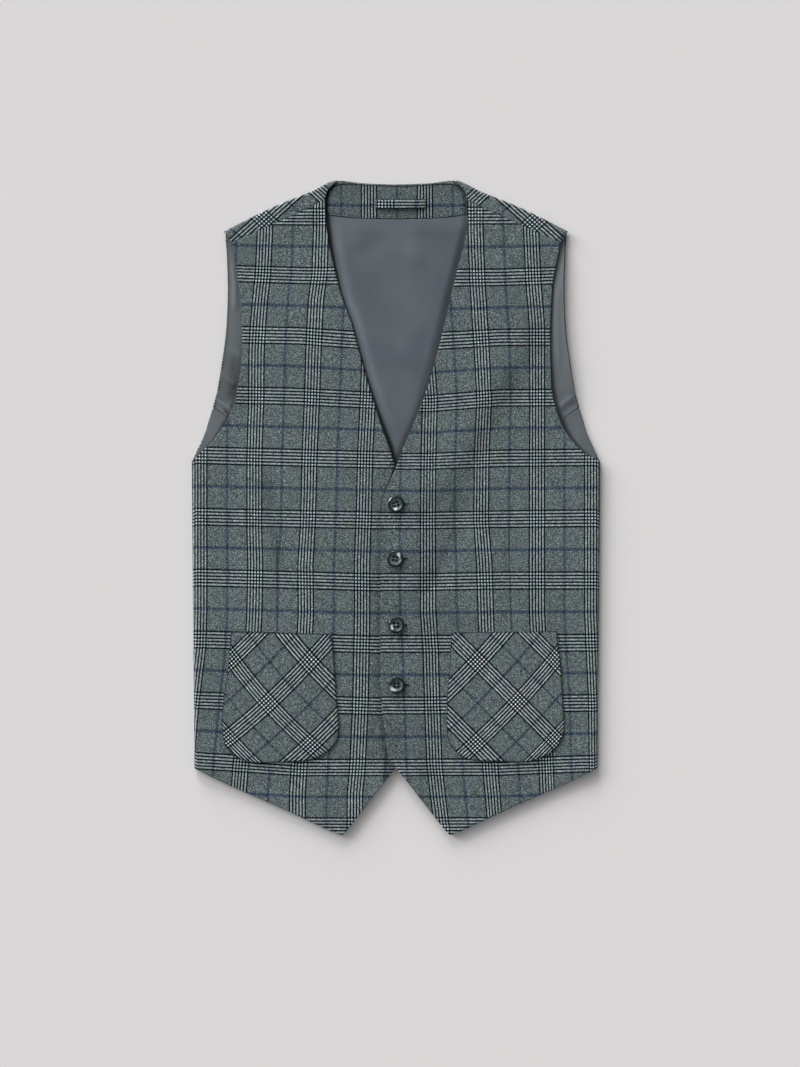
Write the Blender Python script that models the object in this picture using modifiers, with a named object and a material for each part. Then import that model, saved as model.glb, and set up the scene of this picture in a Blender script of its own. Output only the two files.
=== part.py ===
"""A single-breasted suit waistcoat with four buttons, lying flat on its back with its front up.

Metres, +Z up. X runs across the garment, with the wearer's left at +X. Y runs up the centre back, and the
lowest cloth lies on z = 0. Each front is drawn in its own coordinates, where x grows from the centre line
towards its own side seam, and is then turned to the wearer's left (side = 1) or right (side = -1).
"""

import math
from collections import namedtuple

import bmesh
import bpy
from mathutils import Vector

# Walls, from the floor up.
CLOTH = 0.0018
LINING = 0.0010
PATCH = 0.0013
GAP = 0.0003
LINING_TOP = CLOTH + GAP + LINING
FRONT_REST = LINING_TOP + GAP + CLOTH
FACET_ALLOWANCE = 0.00005
MERGE_DISTANCE = 0.00001

# Folds and soft rises of the fronts' upper surface. The shoulder fold's end leans in over the back's neck corner.
SIDE_FOLD_RADIUS = 0.0037
NECK_FOLD_RADIUS = 0.0027
SHOULDER_FOLD_RADIUS = 0.0034
NECK_LEAN = -0.45
NECK_LEAN_FADE = 0.009
SIDE_RISE_WIDTH = 0.050
SHOULDER_RISE_WIDTH = 0.060
TIP_DROP_START = 0.006
TIP_DROP_LENGTH = 0.040
OVERLAP_STEP = CLOTH + GAP + FACET_ALLOWANCE
OVERLAP_REACH = 0.0185
OVERLAP_FADE = 0.026

# Outline sizes.
HALF_CHEST = 0.2249
HALF_HEM = 0.2219
UNDERARM_Y = 0.0500
SIDE_HEM_Y = -0.2868
TIP_X, TIP_Y = 0.0592, -0.3602
LEADING_CORNER_X, LEADING_CORNER_Y = -0.0090, -0.2749
BACK_HEM_CENTRE_Y = -0.2755
BACK_HEM_SIDE_Y = -0.2850
LINING_HEM_RISE = 0.014
SIDE_LINING_DEPTH = 0.045
EDGE_SHOW = 0.0013

# Loop and buttons.
LOOP_X, LOOP_Y = 0.0045, 0.3344
LOOP_HALF_LENGTH = 0.0281
LOOP_HALF_WIDTH = 0.0052
LOOP_ARCH = 0.0008
LOOP_TACK_SHARE = 0.4
BUTTON_HOLE_OFFSET = 0.0017
BUTTON_HOLE_RADIUS = 0.0009
BUTTON_TURNS = 24
BUTTON_HOLE_SIDES = 8
BUTTON_SHARP_EDGE = math.radians(40)

# How many faces each sheet has along and across.
FRONT_COLUMNS_TO_TIP = 5
FRONT_COLUMNS_TO_SIDE = 9
FOLD_STEPS = 6
TURN_COLUMNS = 2
BODY_ROWS = 18
CURVE_STEPS = 16
ARMHOLE_ROWS = 20
TURN_ROWS = 6
BACK_ARMHOLE_ROWS = 12
NECK_COLUMNS = 8
SHOULDER_COLUMNS = 7
WRAP_ROWS = 3
LINING_COLUMNS = 6
FACING_ROWS = 3
POCKET_COLUMNS = 8
POCKET_ROWS = 9
LOOP_COLUMNS = 10

EdgeRow = namedtuple("EdgeRow", "y left right")
OutlineRow = namedtuple("OutlineRow", "x y")
PocketRow = namedtuple("PocketRow", "x y corner")
RiseRow = namedtuple("RiseRow", "x y width length height")
ButtonRow = namedtuple("ButtonRow", "x y turn")
ProfileRow = namedtuple("ProfileRow", "radius height")

# The fronts' neckline and front edge, from the shoulder seam down: distance past the centre line on the
# front's own side, for the wearer's left and right front.
FRONT_EDGE = (
    EdgeRow(0.3388, 0.0780, 0.0780),
    EdgeRow(0.3097, 0.0787, 0.0763),
    EdgeRow(0.2877, 0.0744, 0.0730),
    EdgeRow(0.2634, 0.0684, 0.0675),
    EdgeRow(0.2370, 0.0618, 0.0609),
    EdgeRow(0.2063, 0.0546, 0.0495),
    EdgeRow(0.1538, 0.0415, 0.0354),
    EdgeRow(0.1183, 0.0304, 0.0250),
    EdgeRow(0.0908, 0.0193, 0.0160),
    EdgeRow(0.0627, 0.0068, 0.0061),
    EdgeRow(0.0440, 0.0000, 0.0000),
    EdgeRow(0.0237, -0.0088, -0.0088),
    EdgeRow(0.0083, -0.0143, -0.0143),
    EdgeRow(-0.0248, -0.0165, -0.0165),
    EdgeRow(-0.1018, -0.0170, -0.0170),
    EdgeRow(-0.2008, -0.0165, -0.0165),
    EdgeRow(-0.2393, -0.0132, -0.0132),
    EdgeRow(LEADING_CORNER_Y, LEADING_CORNER_X, LEADING_CORNER_X),
)

# The fronts' armhole edge, from the underarm up, given in the same way.
FRONT_ARMHOLE = (
    EdgeRow(0.0528, HALF_CHEST - SIDE_FOLD_RADIUS, HALF_CHEST - SIDE_FOLD_RADIUS),
    EdgeRow(0.0585, 0.2087, 0.2168),
    EdgeRow(0.0672, 0.1992, 0.2070),
    EdgeRow(0.0774, 0.1906, 0.1983),
    EdgeRow(0.0884, 0.1836, 0.1904),
    EdgeRow(0.1041, 0.1772, 0.1818),
    EdgeRow(0.1167, 0.1734, 0.1766),
    EdgeRow(0.1340, 0.1709, 0.1740),
    EdgeRow(0.1513, 0.1702, 0.1711),
    EdgeRow(0.1755, 0.1694, 0.1694),
    EdgeRow(0.2008, 0.1696, 0.1696),
    EdgeRow(0.2448, 0.1719, 0.1727),
    EdgeRow(0.2613, 0.1747, 0.1755),
    EdgeRow(0.2916, 0.1806, 0.1806),
)

# Half outlines, the same on both sides.
HEM_TO_TIP = (
    OutlineRow(LEADING_CORNER_X, LEADING_CORNER_Y),
    OutlineRow(0.0250, -0.3180),
    OutlineRow(0.0540, -0.3552),
    OutlineRow(TIP_X, TIP_Y),
)
HEM_TO_SIDE = (
    OutlineRow(TIP_X, TIP_Y),
    OutlineRow(0.0694, -0.3572),
    OutlineRow(0.1140, -0.3364),
    OutlineRow(0.1436, -0.3231),
    OutlineRow(0.1790, -0.3077),
    OutlineRow(0.1993, -0.2982),
    OutlineRow(HALF_HEM - SIDE_FOLD_RADIUS, -0.2888),
)
# Where the hem comes out of the side fold on the underside.
UNDER_HEM_END = OutlineRow(HALF_HEM - SIDE_FOLD_RADIUS, -0.2860)
SHOULDER_SEAM = (
    OutlineRow(0.0780, 0.3388),
    OutlineRow(0.0894, 0.3328),
    OutlineRow(0.1078, 0.3240),
    OutlineRow(0.1298, 0.3141),
    OutlineRow(0.1806, 0.2916),
)
SHOULDER_FOLD = (
    OutlineRow(0.0652, 0.3602),
    OutlineRow(0.0696, 0.3596),
    OutlineRow(0.0765, 0.3569),
    OutlineRow(0.0924, 0.3484),
    OutlineRow(0.1298, 0.3333),
    OutlineRow(0.1590, 0.3196),
    OutlineRow(0.1893, 0.3041),
)
SHOULDER_NECK_EDGE = (
    OutlineRow(0.0679, 0.3578),
    OutlineRow(0.0759, 0.3480),
    OutlineRow(0.0780, 0.3388),
)
BACK_NECK = (
    OutlineRow(0.0000, 0.3560),
    OutlineRow(0.0200, 0.3565),
    OutlineRow(0.0360, 0.3573),
    OutlineRow(0.0460, 0.3583),
    OutlineRow(0.0550, 0.3597),
    OutlineRow(0.0645, 0.3602),
)
BACK_ARMHOLE = (
    OutlineRow(HALF_CHEST - SIDE_FOLD_RADIUS, 0.0582),
    OutlineRow(0.2184, 0.0645),
    OutlineRow(0.2112, 0.0798),
    OutlineRow(0.2055, 0.0980),
    OutlineRow(0.2024, 0.1080),
    OutlineRow(0.2014, 0.1112),
    OutlineRow(0.1969, 0.1282),
    OutlineRow(0.1909, 0.1645),
    OutlineRow(0.1870, 0.1953),
    OutlineRow(0.1852, 0.2392),
    OutlineRow(0.1862, 0.2756),
    OutlineRow(0.1879, 0.3010),
)
ARMHOLE_ROWS_OF_TURN = 5
SIDE_SEAM = (
    OutlineRow(0.1881, BACK_HEM_SIDE_Y),
    OutlineRow(0.1852, -0.1400),
    OutlineRow(0.1843, 0.0000),
    OutlineRow(0.1837, UNDERARM_Y),
    OutlineRow(0.1836, 0.0780),
    OutlineRow(0.1856, 0.0965),
    OutlineRow(0.1930, 0.1050),
    OutlineRow(0.2009, 0.1092),
)
SEAM_ROWS_BELOW_UNDERARM = 4

# Back neck facing, half of it: its lower and upper edges, then the end that lies under the shoulder.
FACING_LOWER_EDGE = (
    OutlineRow(0.0000, 0.3177),
    OutlineRow(0.0495, 0.3193),
    OutlineRow(0.0836, 0.3232),
)
FACING_UPPER_EDGE = (
    OutlineRow(0.0000, 0.3547),
    OutlineRow(0.0250, 0.3554),
    OutlineRow(0.0420, 0.3565),
    OutlineRow(0.0540, 0.3570),
    OutlineRow(0.0640, 0.3562),
    OutlineRow(0.0708, 0.3548),
)
FACING_END = (
    OutlineRow(0.0836, 0.3232),
    OutlineRow(0.0830, 0.3400),
    OutlineRow(0.0780, 0.3480),
    OutlineRow(0.0708, 0.3548),
)
LINING_SHOULDER = (
    OutlineRow(0.0836, 0.3232),
    OutlineRow(0.1300, 0.3100),
    OutlineRow(0.1866, 0.2975),
)

# Soft rises of the fronts above where they would rest on the lining: centre, reach across and along, height.
FRONT_RISES = (
    RiseRow(0.112, 0.145, 0.055, 0.100, 0.0016),
    RiseRow(0.105, -0.090, 0.070, 0.120, 0.0010),
    RiseRow(0.150, -0.235, 0.050, 0.045, 0.0008),
)

# Patch pockets, from the top inner corner down, round the bag and up to the top outer corner.
POCKETS = {
    "pocket_left": (
        PocketRow(0.0608, -0.1375, True),
        PocketRow(0.0593, -0.1645, False),
        PocketRow(0.0557, -0.2283, False),
        PocketRow(0.0574, -0.2552, False),
        PocketRow(0.0665, -0.2690, True),
        PocketRow(0.0762, -0.2756, False),
        PocketRow(0.0890, -0.2784, False),
        PocketRow(0.1177, -0.2794, False),
        PocketRow(0.1463, -0.2794, False),
        PocketRow(0.1680, -0.2715, True),
        PocketRow(0.1810, -0.2570, False),
        PocketRow(0.1848, -0.2431, False),
        PocketRow(0.1835, -0.2129, False),
        PocketRow(0.1811, -0.1722, False),
        PocketRow(0.1767, -0.1359, True),
    ),
    "pocket_right": (
        PocketRow(0.0715, -0.1392, True),
        PocketRow(0.0683, -0.1634, False),
        PocketRow(0.0656, -0.2063, False),
        PocketRow(0.0627, -0.2448, False),
        PocketRow(0.0651, -0.2561, False),
        PocketRow(0.0735, -0.2669, True),
        PocketRow(0.0840, -0.2738, False),
        PocketRow(0.0979, -0.2785, False),
        PocketRow(0.1280, -0.2802, False),
        PocketRow(0.1600, -0.2803, False),
        PocketRow(0.1775, -0.2737, True),
        PocketRow(0.1873, -0.2628, False),
        PocketRow(0.1911, -0.2470, False),
        PocketRow(0.1918, -0.2338, False),
        PocketRow(0.1892, -0.2085, False),
        PocketRow(0.1845, -0.1744, False),
        PocketRow(0.1817, -0.1365, True),
    ),
}

BUTTONS = (
    ButtonRow(0.0000, 0.0037, 12.0),
    ButtonRow(-0.0009, -0.0562, 8.0),
    ButtonRow(0.0003, -0.1290, -10.0),
    ButtonRow(0.0007, -0.1951, 15.0),
)

# Half section of a button, from the middle of its dished face over the rim to the middle of its back.
BUTTON_PROFILE = (
    ProfileRow(0.0000, 0.0026),
    ProfileRow(0.0046, 0.0027),
    ProfileRow(0.0060, 0.0034),
    ProfileRow(0.0076, 0.0037),
    ProfileRow(0.0088, 0.0031),
    ProfileRow(0.0091, 0.0021),
    ProfileRow(0.0084, 0.0009),
    ProfileRow(0.0062, 0.0000),
    ProfileRow(0.0000, 0.0000),
)


def clear_scene():
    for thing in list(bpy.data.objects):
        bpy.data.objects.remove(thing, do_unlink=True)


def make_collection(name):
    collection = bpy.data.collections.new(name)
    bpy.context.scene.collection.children.link(collection)
    return collection


def make_material(name, colour, roughness):
    material = bpy.data.materials.new(name)
    material.use_nodes = True
    shader = material.node_tree.nodes["Principled BSDF"]
    shader.inputs["Base Color"].default_value = (*colour, 1.0)
    shader.inputs["Roughness"].default_value = roughness
    shader.inputs["Metallic"].default_value = 0.0
    material.diffuse_color = (*colour, 1.0)
    return material


def smoothstep(value):
    value = min(max(value, 0.0), 1.0)
    return value * value * (3.0 - 2.0 * value)


def mix(start, end, share):
    return start + (end - start) * share


def smooth_through(outline, count):
    """Evenly spaced points, count + 1 of them, on a smooth curve through the outline's points."""
    points = [Vector((row[0], row[1])) for row in outline]
    before = points[0] * 2 - points[1]
    after = points[-1] * 2 - points[-2]
    guides = [before, *points, after]
    fine = []
    for i in range(1, len(guides) - 2):
        start, end = guides[i], guides[i + 1]
        span = (end - start).length
        leave = (end - guides[i - 1]) * (span / (end - guides[i - 1]).length)
        arrive = (guides[i + 2] - start) * (span / (guides[i + 2] - start).length)
        for step in range(CURVE_STEPS):
            t = step / CURVE_STEPS
            fine.append(
                start * (2 * t**3 - 3 * t**2 + 1)
                + leave * (t**3 - 2 * t**2 + t)
                + end * (3 * t**2 - 2 * t**3)
                + arrive * (t**3 - t**2)
            )
    fine.append(points[-1])
    return evenly_spaced(fine, count)


def evenly_spaced(points, count):
    """Points at equal distances along a polyline."""
    reach = [0.0]
    for a, b in zip(points, points[1:]):
        reach.append(reach[-1] + (b - a).length)
    found = []
    segment = 0
    for i in range(count + 1):
        target = reach[-1] * i / count
        while segment < len(points) - 2 and reach[segment + 1] < target:
            segment += 1
        length = reach[segment + 1] - reach[segment]
        found.append(points[segment].lerp(points[segment + 1], (target - reach[segment]) / length))
    return found


def straight(start, end, count):
    start, end = Vector(start), Vector(end)
    return [start.lerp(end, i / count) for i in range(count + 1)]


def blend_patch(bottom, top, inner, outer):
    """Rows of points between four boundary curves that share their corners."""
    columns, rows = len(bottom) - 1, len(inner) - 1
    patch = []
    for r in range(rows + 1):
        v = r / rows
        row = []
        for c in range(columns + 1):
            u = c / columns
            across = inner[r].lerp(outer[r], u)
            along = bottom[c].lerp(top[c], v)
            corners = bottom[0].lerp(bottom[-1], u).lerp(top[0].lerp(top[-1], u), v)
            row.append(across + along - corners)
        patch.append(row)
    return patch


def value_at(outline, position, key, value):
    """Straight-line reading of a table that runs in order of its key column."""
    rows = sorted(outline, key=lambda row: row[key])
    if position <= rows[0][key]:
        return rows[0][value]
    for low, high in zip(rows, rows[1:]):
        if position <= high[key]:
            share = (position - low[key]) / (high[key] - low[key])
            return mix(low[value], high[value], share)
    return rows[-1][value]


def on_side(table, side):
    """One front's outline from a table with a column for each side."""
    return [OutlineRow(row.left if side > 0 else row.right, row.y) for row in table]


def side_x(y):
    """Outermost reach of the side fold."""
    share = (y - SIDE_HEM_Y) / (UNDERARM_Y - SIDE_HEM_Y)
    return mix(HALF_HEM, HALF_CHEST, min(max(share, 0.0), 1.0))


def shoulder_radius(x):
    """Radius of the shoulder fold, smaller towards the neck."""
    share = (x - SHOULDER_FOLD[0].x) / (SHOULDER_FOLD[-1].x - SHOULDER_FOLD[0].x)
    return mix(NECK_FOLD_RADIUS, SHOULDER_FOLD_RADIUS, min(max(share, 0.0), 1.0))


def back_hem_y(x):
    return mix(BACK_HEM_CENTRE_Y, BACK_HEM_SIDE_Y, (abs(x) / HALF_HEM) ** 2)


def front_height(x, y):
    """Height of a front's upper surface over the floor, before one front is laid over the other."""
    x = abs(x)
    rise = 0.0
    for row in FRONT_RISES:
        reach = ((x - row.x) / row.width) ** 2 + ((y - row.y) / row.length) ** 2
        rise += row.height * math.exp(-reach)
    height = FRONT_REST + rise
    past_back_hem = back_hem_y(x) - y - TIP_DROP_START
    height = mix(height, CLOTH, smoothstep(past_back_hem / TIP_DROP_LENGTH))
    from_fold = side_x(y) - SIDE_FOLD_RADIUS - x
    below_underarm = smoothstep(1.0 - (y - UNDERARM_Y) / SIDE_RISE_WIDTH)
    at_fold = smoothstep(1.0 - from_fold / SIDE_RISE_WIDTH) * below_underarm
    height = mix(height, 2 * SIDE_FOLD_RADIUS, at_fold)
    below_seam = value_at(SHOULDER_SEAM, x, 0, 1) - y
    return mix(height, 2 * shoulder_radius(x), smoothstep(1.0 - below_seam / SHOULDER_RISE_WIDTH))


def over_step(x):
    """How far the wearer's left front is lifted where it laps over the right one."""
    return OVERLAP_STEP * (1.0 - smoothstep((x - OVERLAP_REACH) / OVERLAP_FADE))


def front_surface(side):
    """Height function of one front in its own coordinates."""
    if side > 0:
        return lambda x, y: front_height(x, y) + over_step(x)
    return front_height


def lifted(row, height):
    return [Vector((p.x, p.y, height(p.x, p.y))) for p in row]


def flat_at(height):
    return lambda x, y: height


def moved_aside(points, distance):
    """The same line moved to the left of its direction of travel."""
    found = []
    for i, point in enumerate(points):
        along = points[min(i + 1, len(points) - 1)] - points[max(i - 1, 0)]
        along.normalize()
        found.append(point + Vector((-along.y, along.x)) * distance)
    return found


def sheet_object(name, blocks, thickness, collection, material, outer="up", turned=False, mirrored=False):
    """One cloth wall: blocks of point rows sewn into a sheet, with its thickness behind the side drawn."""
    mesh_data = bpy.data.meshes.new(name)
    sheet = bmesh.new()
    for rows in blocks:
        grid = []
        for row in rows:
            grid.append([sheet.verts.new((-p.x if turned else p.x, p.y, p.z)) for p in row])
        for lower, upper in zip(grid, grid[1:]):
            for c in range(len(lower) - 1):
                corners = [lower[c], lower[c + 1], upper[c + 1], upper[c]]
                if (outer == "down") != turned:
                    corners.reverse()
                sheet.faces.new(corners)
    bmesh.ops.remove_doubles(sheet, verts=sheet.verts, dist=MERGE_DISTANCE)
    sheet.to_mesh(mesh_data)
    sheet.free()
    mesh_data.materials.append(material)
    mesh_data.shade_smooth()
    piece = bpy.data.objects.new(name, mesh_data)
    collection.objects.link(piece)
    if mirrored:
        mirror = piece.modifiers.new("Other half", "MIRROR")
        mirror.merge_threshold = MERGE_DISTANCE
    wall = piece.modifiers.new("Wall", "SOLIDIFY")
    wall.thickness = thickness
    wall.offset = -1.0
    wall.use_even_offset = True
    return piece


def side_seam_lines():
    """The seam between back and front, below and above the underarm, on the back side."""
    lower = smooth_through(SIDE_SEAM[:SEAM_ROWS_BELOW_UNDERARM], BODY_ROWS)
    upper = smooth_through(SIDE_SEAM[SEAM_ROWS_BELOW_UNDERARM - 1 :], TURN_ROWS)
    return lower, upper


def front_blocks(side):
    """Body from hem to underarm round the side fold, chest above it, and the turn under the armhole."""
    surface = front_surface(side)
    columns = FRONT_COLUMNS_TO_TIP + FRONT_COLUMNS_TO_SIDE
    edge = on_side(FRONT_EDGE, side)
    edge_start = OutlineRow(value_at(edge, UNDERARM_Y, 1, 0), UNDERARM_Y)
    above = [row for row in edge if row.y > UNDERARM_Y]
    below = [row for row in edge if row.y < UNDERARM_Y]
    seam_lower, seam_upper = side_seam_lines()

    hem = smooth_through(HEM_TO_TIP, FRONT_COLUMNS_TO_TIP)
    hem += smooth_through(HEM_TO_SIDE, FRONT_COLUMNS_TO_SIDE)[1:]
    armhole = smooth_through(on_side(FRONT_ARMHOLE, side), ARMHOLE_ROWS)
    underarm = straight(edge_start, armhole[0], columns)
    front_edge = smooth_through([edge_start, *below], BODY_ROWS)[::-1]
    upper_line = straight(hem[-1], armhole[0], BODY_ROWS)
    under_line = straight(UNDER_HEM_END, BACK_ARMHOLE[0], BODY_ROWS)
    body = []
    for r, row in enumerate(blend_patch(hem, underarm, front_edge, upper_line)):
        points = lifted(row, surface)
        outermost_y = mix(SIDE_HEM_Y, UNDERARM_Y, r / BODY_ROWS)
        for step in range(1, FOLD_STEPS + 1):
            angle = math.pi / 2 - math.pi * step / FOLD_STEPS
            nearest = upper_line[r] if angle > 0.0 else under_line[r]
            x = nearest.x + SIDE_FOLD_RADIUS * math.cos(angle)
            y = mix(nearest.y, outermost_y, math.cos(angle))
            points.append(Vector((x, y, SIDE_FOLD_RADIUS * (1.0 + math.sin(angle)))))
        turn = straight(under_line[r], seam_lower[r], TURN_COLUMNS)[1:]
        body.append(points + lifted(turn, flat_at(0.0)))

    neckline = smooth_through([*above, edge_start], ARMHOLE_ROWS)[::-1]
    shoulder = smooth_through([neckline[-1], *SHOULDER_SEAM[1:]], columns)
    chest = [lifted(row, surface) for row in blend_patch(underarm, shoulder, neckline, armhole)]

    turn_edge = smooth_through(BACK_ARMHOLE[:ARMHOLE_ROWS_OF_TURN], TURN_ROWS)
    turn_top = straight(turn_edge[-1], seam_upper[-1], TURN_COLUMNS)
    turn_bottom = straight(under_line[-1], seam_upper[0], TURN_COLUMNS)
    turn = blend_patch(turn_bottom, turn_top, turn_edge, seam_upper)
    return [body, chest, [lifted(row, flat_at(0.0)) for row in turn]]


def back_outer_line(armhole_inset, rows):
    """Side seam and armhole of the back or of its lining, from the hem up."""
    lower, upper = side_seam_lines()
    seam = moved_aside(lower + upper[1:], GAP)
    armhole = smooth_through(BACK_ARMHOLE[ARMHOLE_ROWS_OF_TURN:], rows)
    return seam + moved_aside(armhole, armhole_inset)


def shoulder_fold_line():
    """Points on the fold with the level direction out of it and the fold's radius at each."""
    line = smooth_through(SHOULDER_FOLD, SHOULDER_COLUMNS)
    found = []
    for i, point in enumerate(line):
        along = line[min(i + 1, SHOULDER_COLUMNS)] - line[max(i - 1, 0)]
        along.normalize()
        lean = NECK_LEAN * max(1.0 - (point - line[0]).length / NECK_LEAN_FADE, 0.0)
        out = Vector((-along.y, along.x)) + along * (2 * lean)
        found.append((point, out.normalized(), shoulder_radius(point.x)))
    return found


def back_blocks():
    """Right half of the back: its body on the floor, and the shoulder folded over to the front seam."""
    fold = shoulder_fold_line()
    base = [point - out * radius for point, out, radius in fold]
    outer = back_outer_line(0.0, BACK_ARMHOLE_ROWS)
    outer[-1] = base[-1]
    neck = smooth_through(BACK_NECK, NECK_COLUMNS - 1)
    top = neck + base
    columns = len(top) - 1
    bottom = [Vector((outer[0].x * c / columns, back_hem_y(outer[0].x * c / columns))) for c in range(columns)]
    bottom.append(outer[0])
    centre = straight(bottom[0], neck[0], len(outer) - 1)
    body = [lifted(row, flat_at(0.0)) for row in blend_patch(bottom, top, centre, outer)]

    rows = []
    for step in range(FOLD_STEPS + 1):
        angle = math.pi * step / FOLD_STEPS - math.pi / 2
        row = []
        for (point, out, radius), start in zip(fold, base):
            place = start + out * radius * math.cos(angle)
            row.append(Vector((place.x, place.y, radius * (1.0 + math.sin(angle)))))
        rows.append(row)
    seam = smooth_through([OutlineRow(*SHOULDER_NECK_EDGE[-1]), *SHOULDER_SEAM[1:]], SHOULDER_COLUMNS)
    seam = moved_aside(seam, GAP)
    neck_edge = smooth_through([OutlineRow(*base[0]), *SHOULDER_NECK_EDGE[1:]], WRAP_ROWS)
    neck_edge[-1] = seam[0]
    arm_edge = straight(base[-1], seam[-1], WRAP_ROWS)
    wrap = blend_patch(base, seam, neck_edge, arm_edge)
    rows += [lifted(row, shoulder_height) for row in wrap[1:]]
    return [body, rows]


def shoulder_height(x, y):
    return 2 * shoulder_radius(x)


def lining_blocks():
    """Right half of the back lining, from just over the back's hem to the facing and shoulder."""
    outer = back_outer_line(EDGE_SHOW, BACK_ARMHOLE_ROWS)
    outer[-1] = Vector(LINING_SHOULDER[-1])
    hem_line = outer[0].y + LINING_HEM_RISE
    outer = [p for p in outer if p.y > hem_line]
    facing = moved_aside(smooth_through(FACING_LOWER_EDGE, LINING_COLUMNS), -GAP)
    facing[0].x = 0.0
    shoulder = smooth_through([OutlineRow(*facing[-1]), *LINING_SHOULDER[1:]], LINING_COLUMNS)
    top = facing + shoulder[1:]
    bottom = straight((0.0, outer[0].y), outer[0], len(top) - 1)
    centre = straight(bottom[0], top[0], len(outer) - 1)
    return [[lifted(row, flat_at(LINING_TOP)) for row in blend_patch(bottom, top, centre, outer)]]


def side_lining_blocks():
    """The front's lining at the bottom of the armhole, on the part that turns under."""
    lower, upper = side_seam_lines()
    start_y = UNDERARM_Y - SIDE_LINING_DEPTH
    seam = [Vector((value_at(SIDE_SEAM, start_y, 1, 0), start_y)), *upper]
    edge = smooth_through(BACK_ARMHOLE[:ARMHOLE_ROWS_OF_TURN], TURN_ROWS)
    edge = [Vector((side_x(start_y) - SIDE_FOLD_RADIUS, start_y)), *moved_aside(edge, EDGE_SHOW)]
    bottom = straight(edge[0], seam[0], TURN_COLUMNS)
    top = straight(edge[-1], seam[-1], TURN_COLUMNS)
    return [[lifted(row, flat_at(LINING_TOP)) for row in blend_patch(bottom, top, edge, seam)]]


def facing_blocks():
    lower = smooth_through(FACING_LOWER_EDGE, NECK_COLUMNS)
    upper = smooth_through(FACING_UPPER_EDGE, NECK_COLUMNS)
    centre = straight(lower[0], upper[0], FACING_ROWS)
    end = smooth_through(FACING_END, FACING_ROWS)
    return [[lifted(row, flat_at(LINING_TOP)) for row in blend_patch(lower, upper, centre, end)]]


def loop_blocks():
    """A flat strip with its ends tacked down and its middle a little proud."""
    rows = []
    for y in (LOOP_Y - LOOP_HALF_WIDTH, LOOP_Y, LOOP_Y + LOOP_HALF_WIDTH):
        row = []
        for c in range(LOOP_COLUMNS + 1):
            along = 2.0 * c / LOOP_COLUMNS - 1.0
            height = LINING_TOP + GAP + PATCH + LOOP_ARCH * smoothstep((1.0 - abs(along)) / LOOP_TACK_SHARE)
            row.append(Vector((LOOP_X + LOOP_HALF_LENGTH * along, y, height)))
        rows.append(row)
    return [rows]


def pocket_blocks(name, side):
    """A patch laid on its front: the front's own surface, moved out."""
    outline = POCKETS[name]
    corners = [i for i, row in enumerate(outline) if row.corner]
    inner = smooth_through(outline[: corners[1] + 1], POCKET_ROWS)[::-1]
    base = smooth_through(outline[corners[1] : corners[2] + 1], POCKET_COLUMNS)
    outer = smooth_through(outline[corners[2] :], POCKET_ROWS)
    top = straight(inner[-1], outer[-1], POCKET_COLUMNS)
    surface = front_surface(side)
    rows = []
    for row in blend_patch(base, top, inner, outer):
        rows.append([Vector((p.x, p.y, surface(p.x, p.y) + GAP + PATCH)) for p in row])
    return [rows]


def button_mesh(material, garment, cutters):
    """One button with four holes, about its own centre, ready to be shared."""
    profile_data = bpy.data.meshes.new("button_profile")
    points = [(row.radius, 0.0, row.height) for row in BUTTON_PROFILE]
    profile_data.from_pydata(points, [(i, i + 1) for i in range(len(points) - 1)], [])
    profile = bpy.data.objects.new("button_profile", profile_data)
    garment.objects.link(profile)
    turn = profile.modifiers.new("Turn", "SCREW")
    turn.steps = BUTTON_TURNS
    turn.render_steps = BUTTON_TURNS
    turn.use_merge_vertices = True
    turn.merge_threshold = MERGE_DISTANCE

    drill_data = bpy.data.meshes.new("button_drill")
    drill = bmesh.new()
    for i in range(4):
        angle = math.pi / 4 + i * math.pi / 2
        reach = BUTTON_HOLE_OFFSET * math.sqrt(2.0)
        cut = bmesh.ops.create_cone(
            drill,
            cap_ends=True,
            segments=BUTTON_HOLE_SIDES,
            radius1=BUTTON_HOLE_RADIUS,
            radius2=BUTTON_HOLE_RADIUS,
            depth=4 * BUTTON_PROFILE[0].height,
        )
        place = Vector((reach * math.cos(angle), reach * math.sin(angle), 0.0))
        bmesh.ops.translate(drill, verts=cut["verts"], vec=place)
    drill.to_mesh(drill_data)
    drill.free()
    drill_object = bpy.data.objects.new("button_drill", drill_data)
    drill_object.hide_render = True
    drill_object.display_type = "WIRE"
    cutters.objects.link(drill_object)
    holes = profile.modifiers.new("Holes", "BOOLEAN")
    holes.operation = "DIFFERENCE"
    holes.object = drill_object

    graph = bpy.context.evaluated_depsgraph_get()
    mesh_data = bpy.data.meshes.new_from_object(profile.evaluated_get(graph))
    mesh_data.name = "button"
    mesh_data.materials.clear()
    mesh_data.materials.append(material)
    mesh_data.shade_smooth()
    mesh_data.set_sharp_from_angle(angle=BUTTON_SHARP_EDGE)
    bpy.data.objects.remove(profile, do_unlink=True)
    return mesh_data


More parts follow.
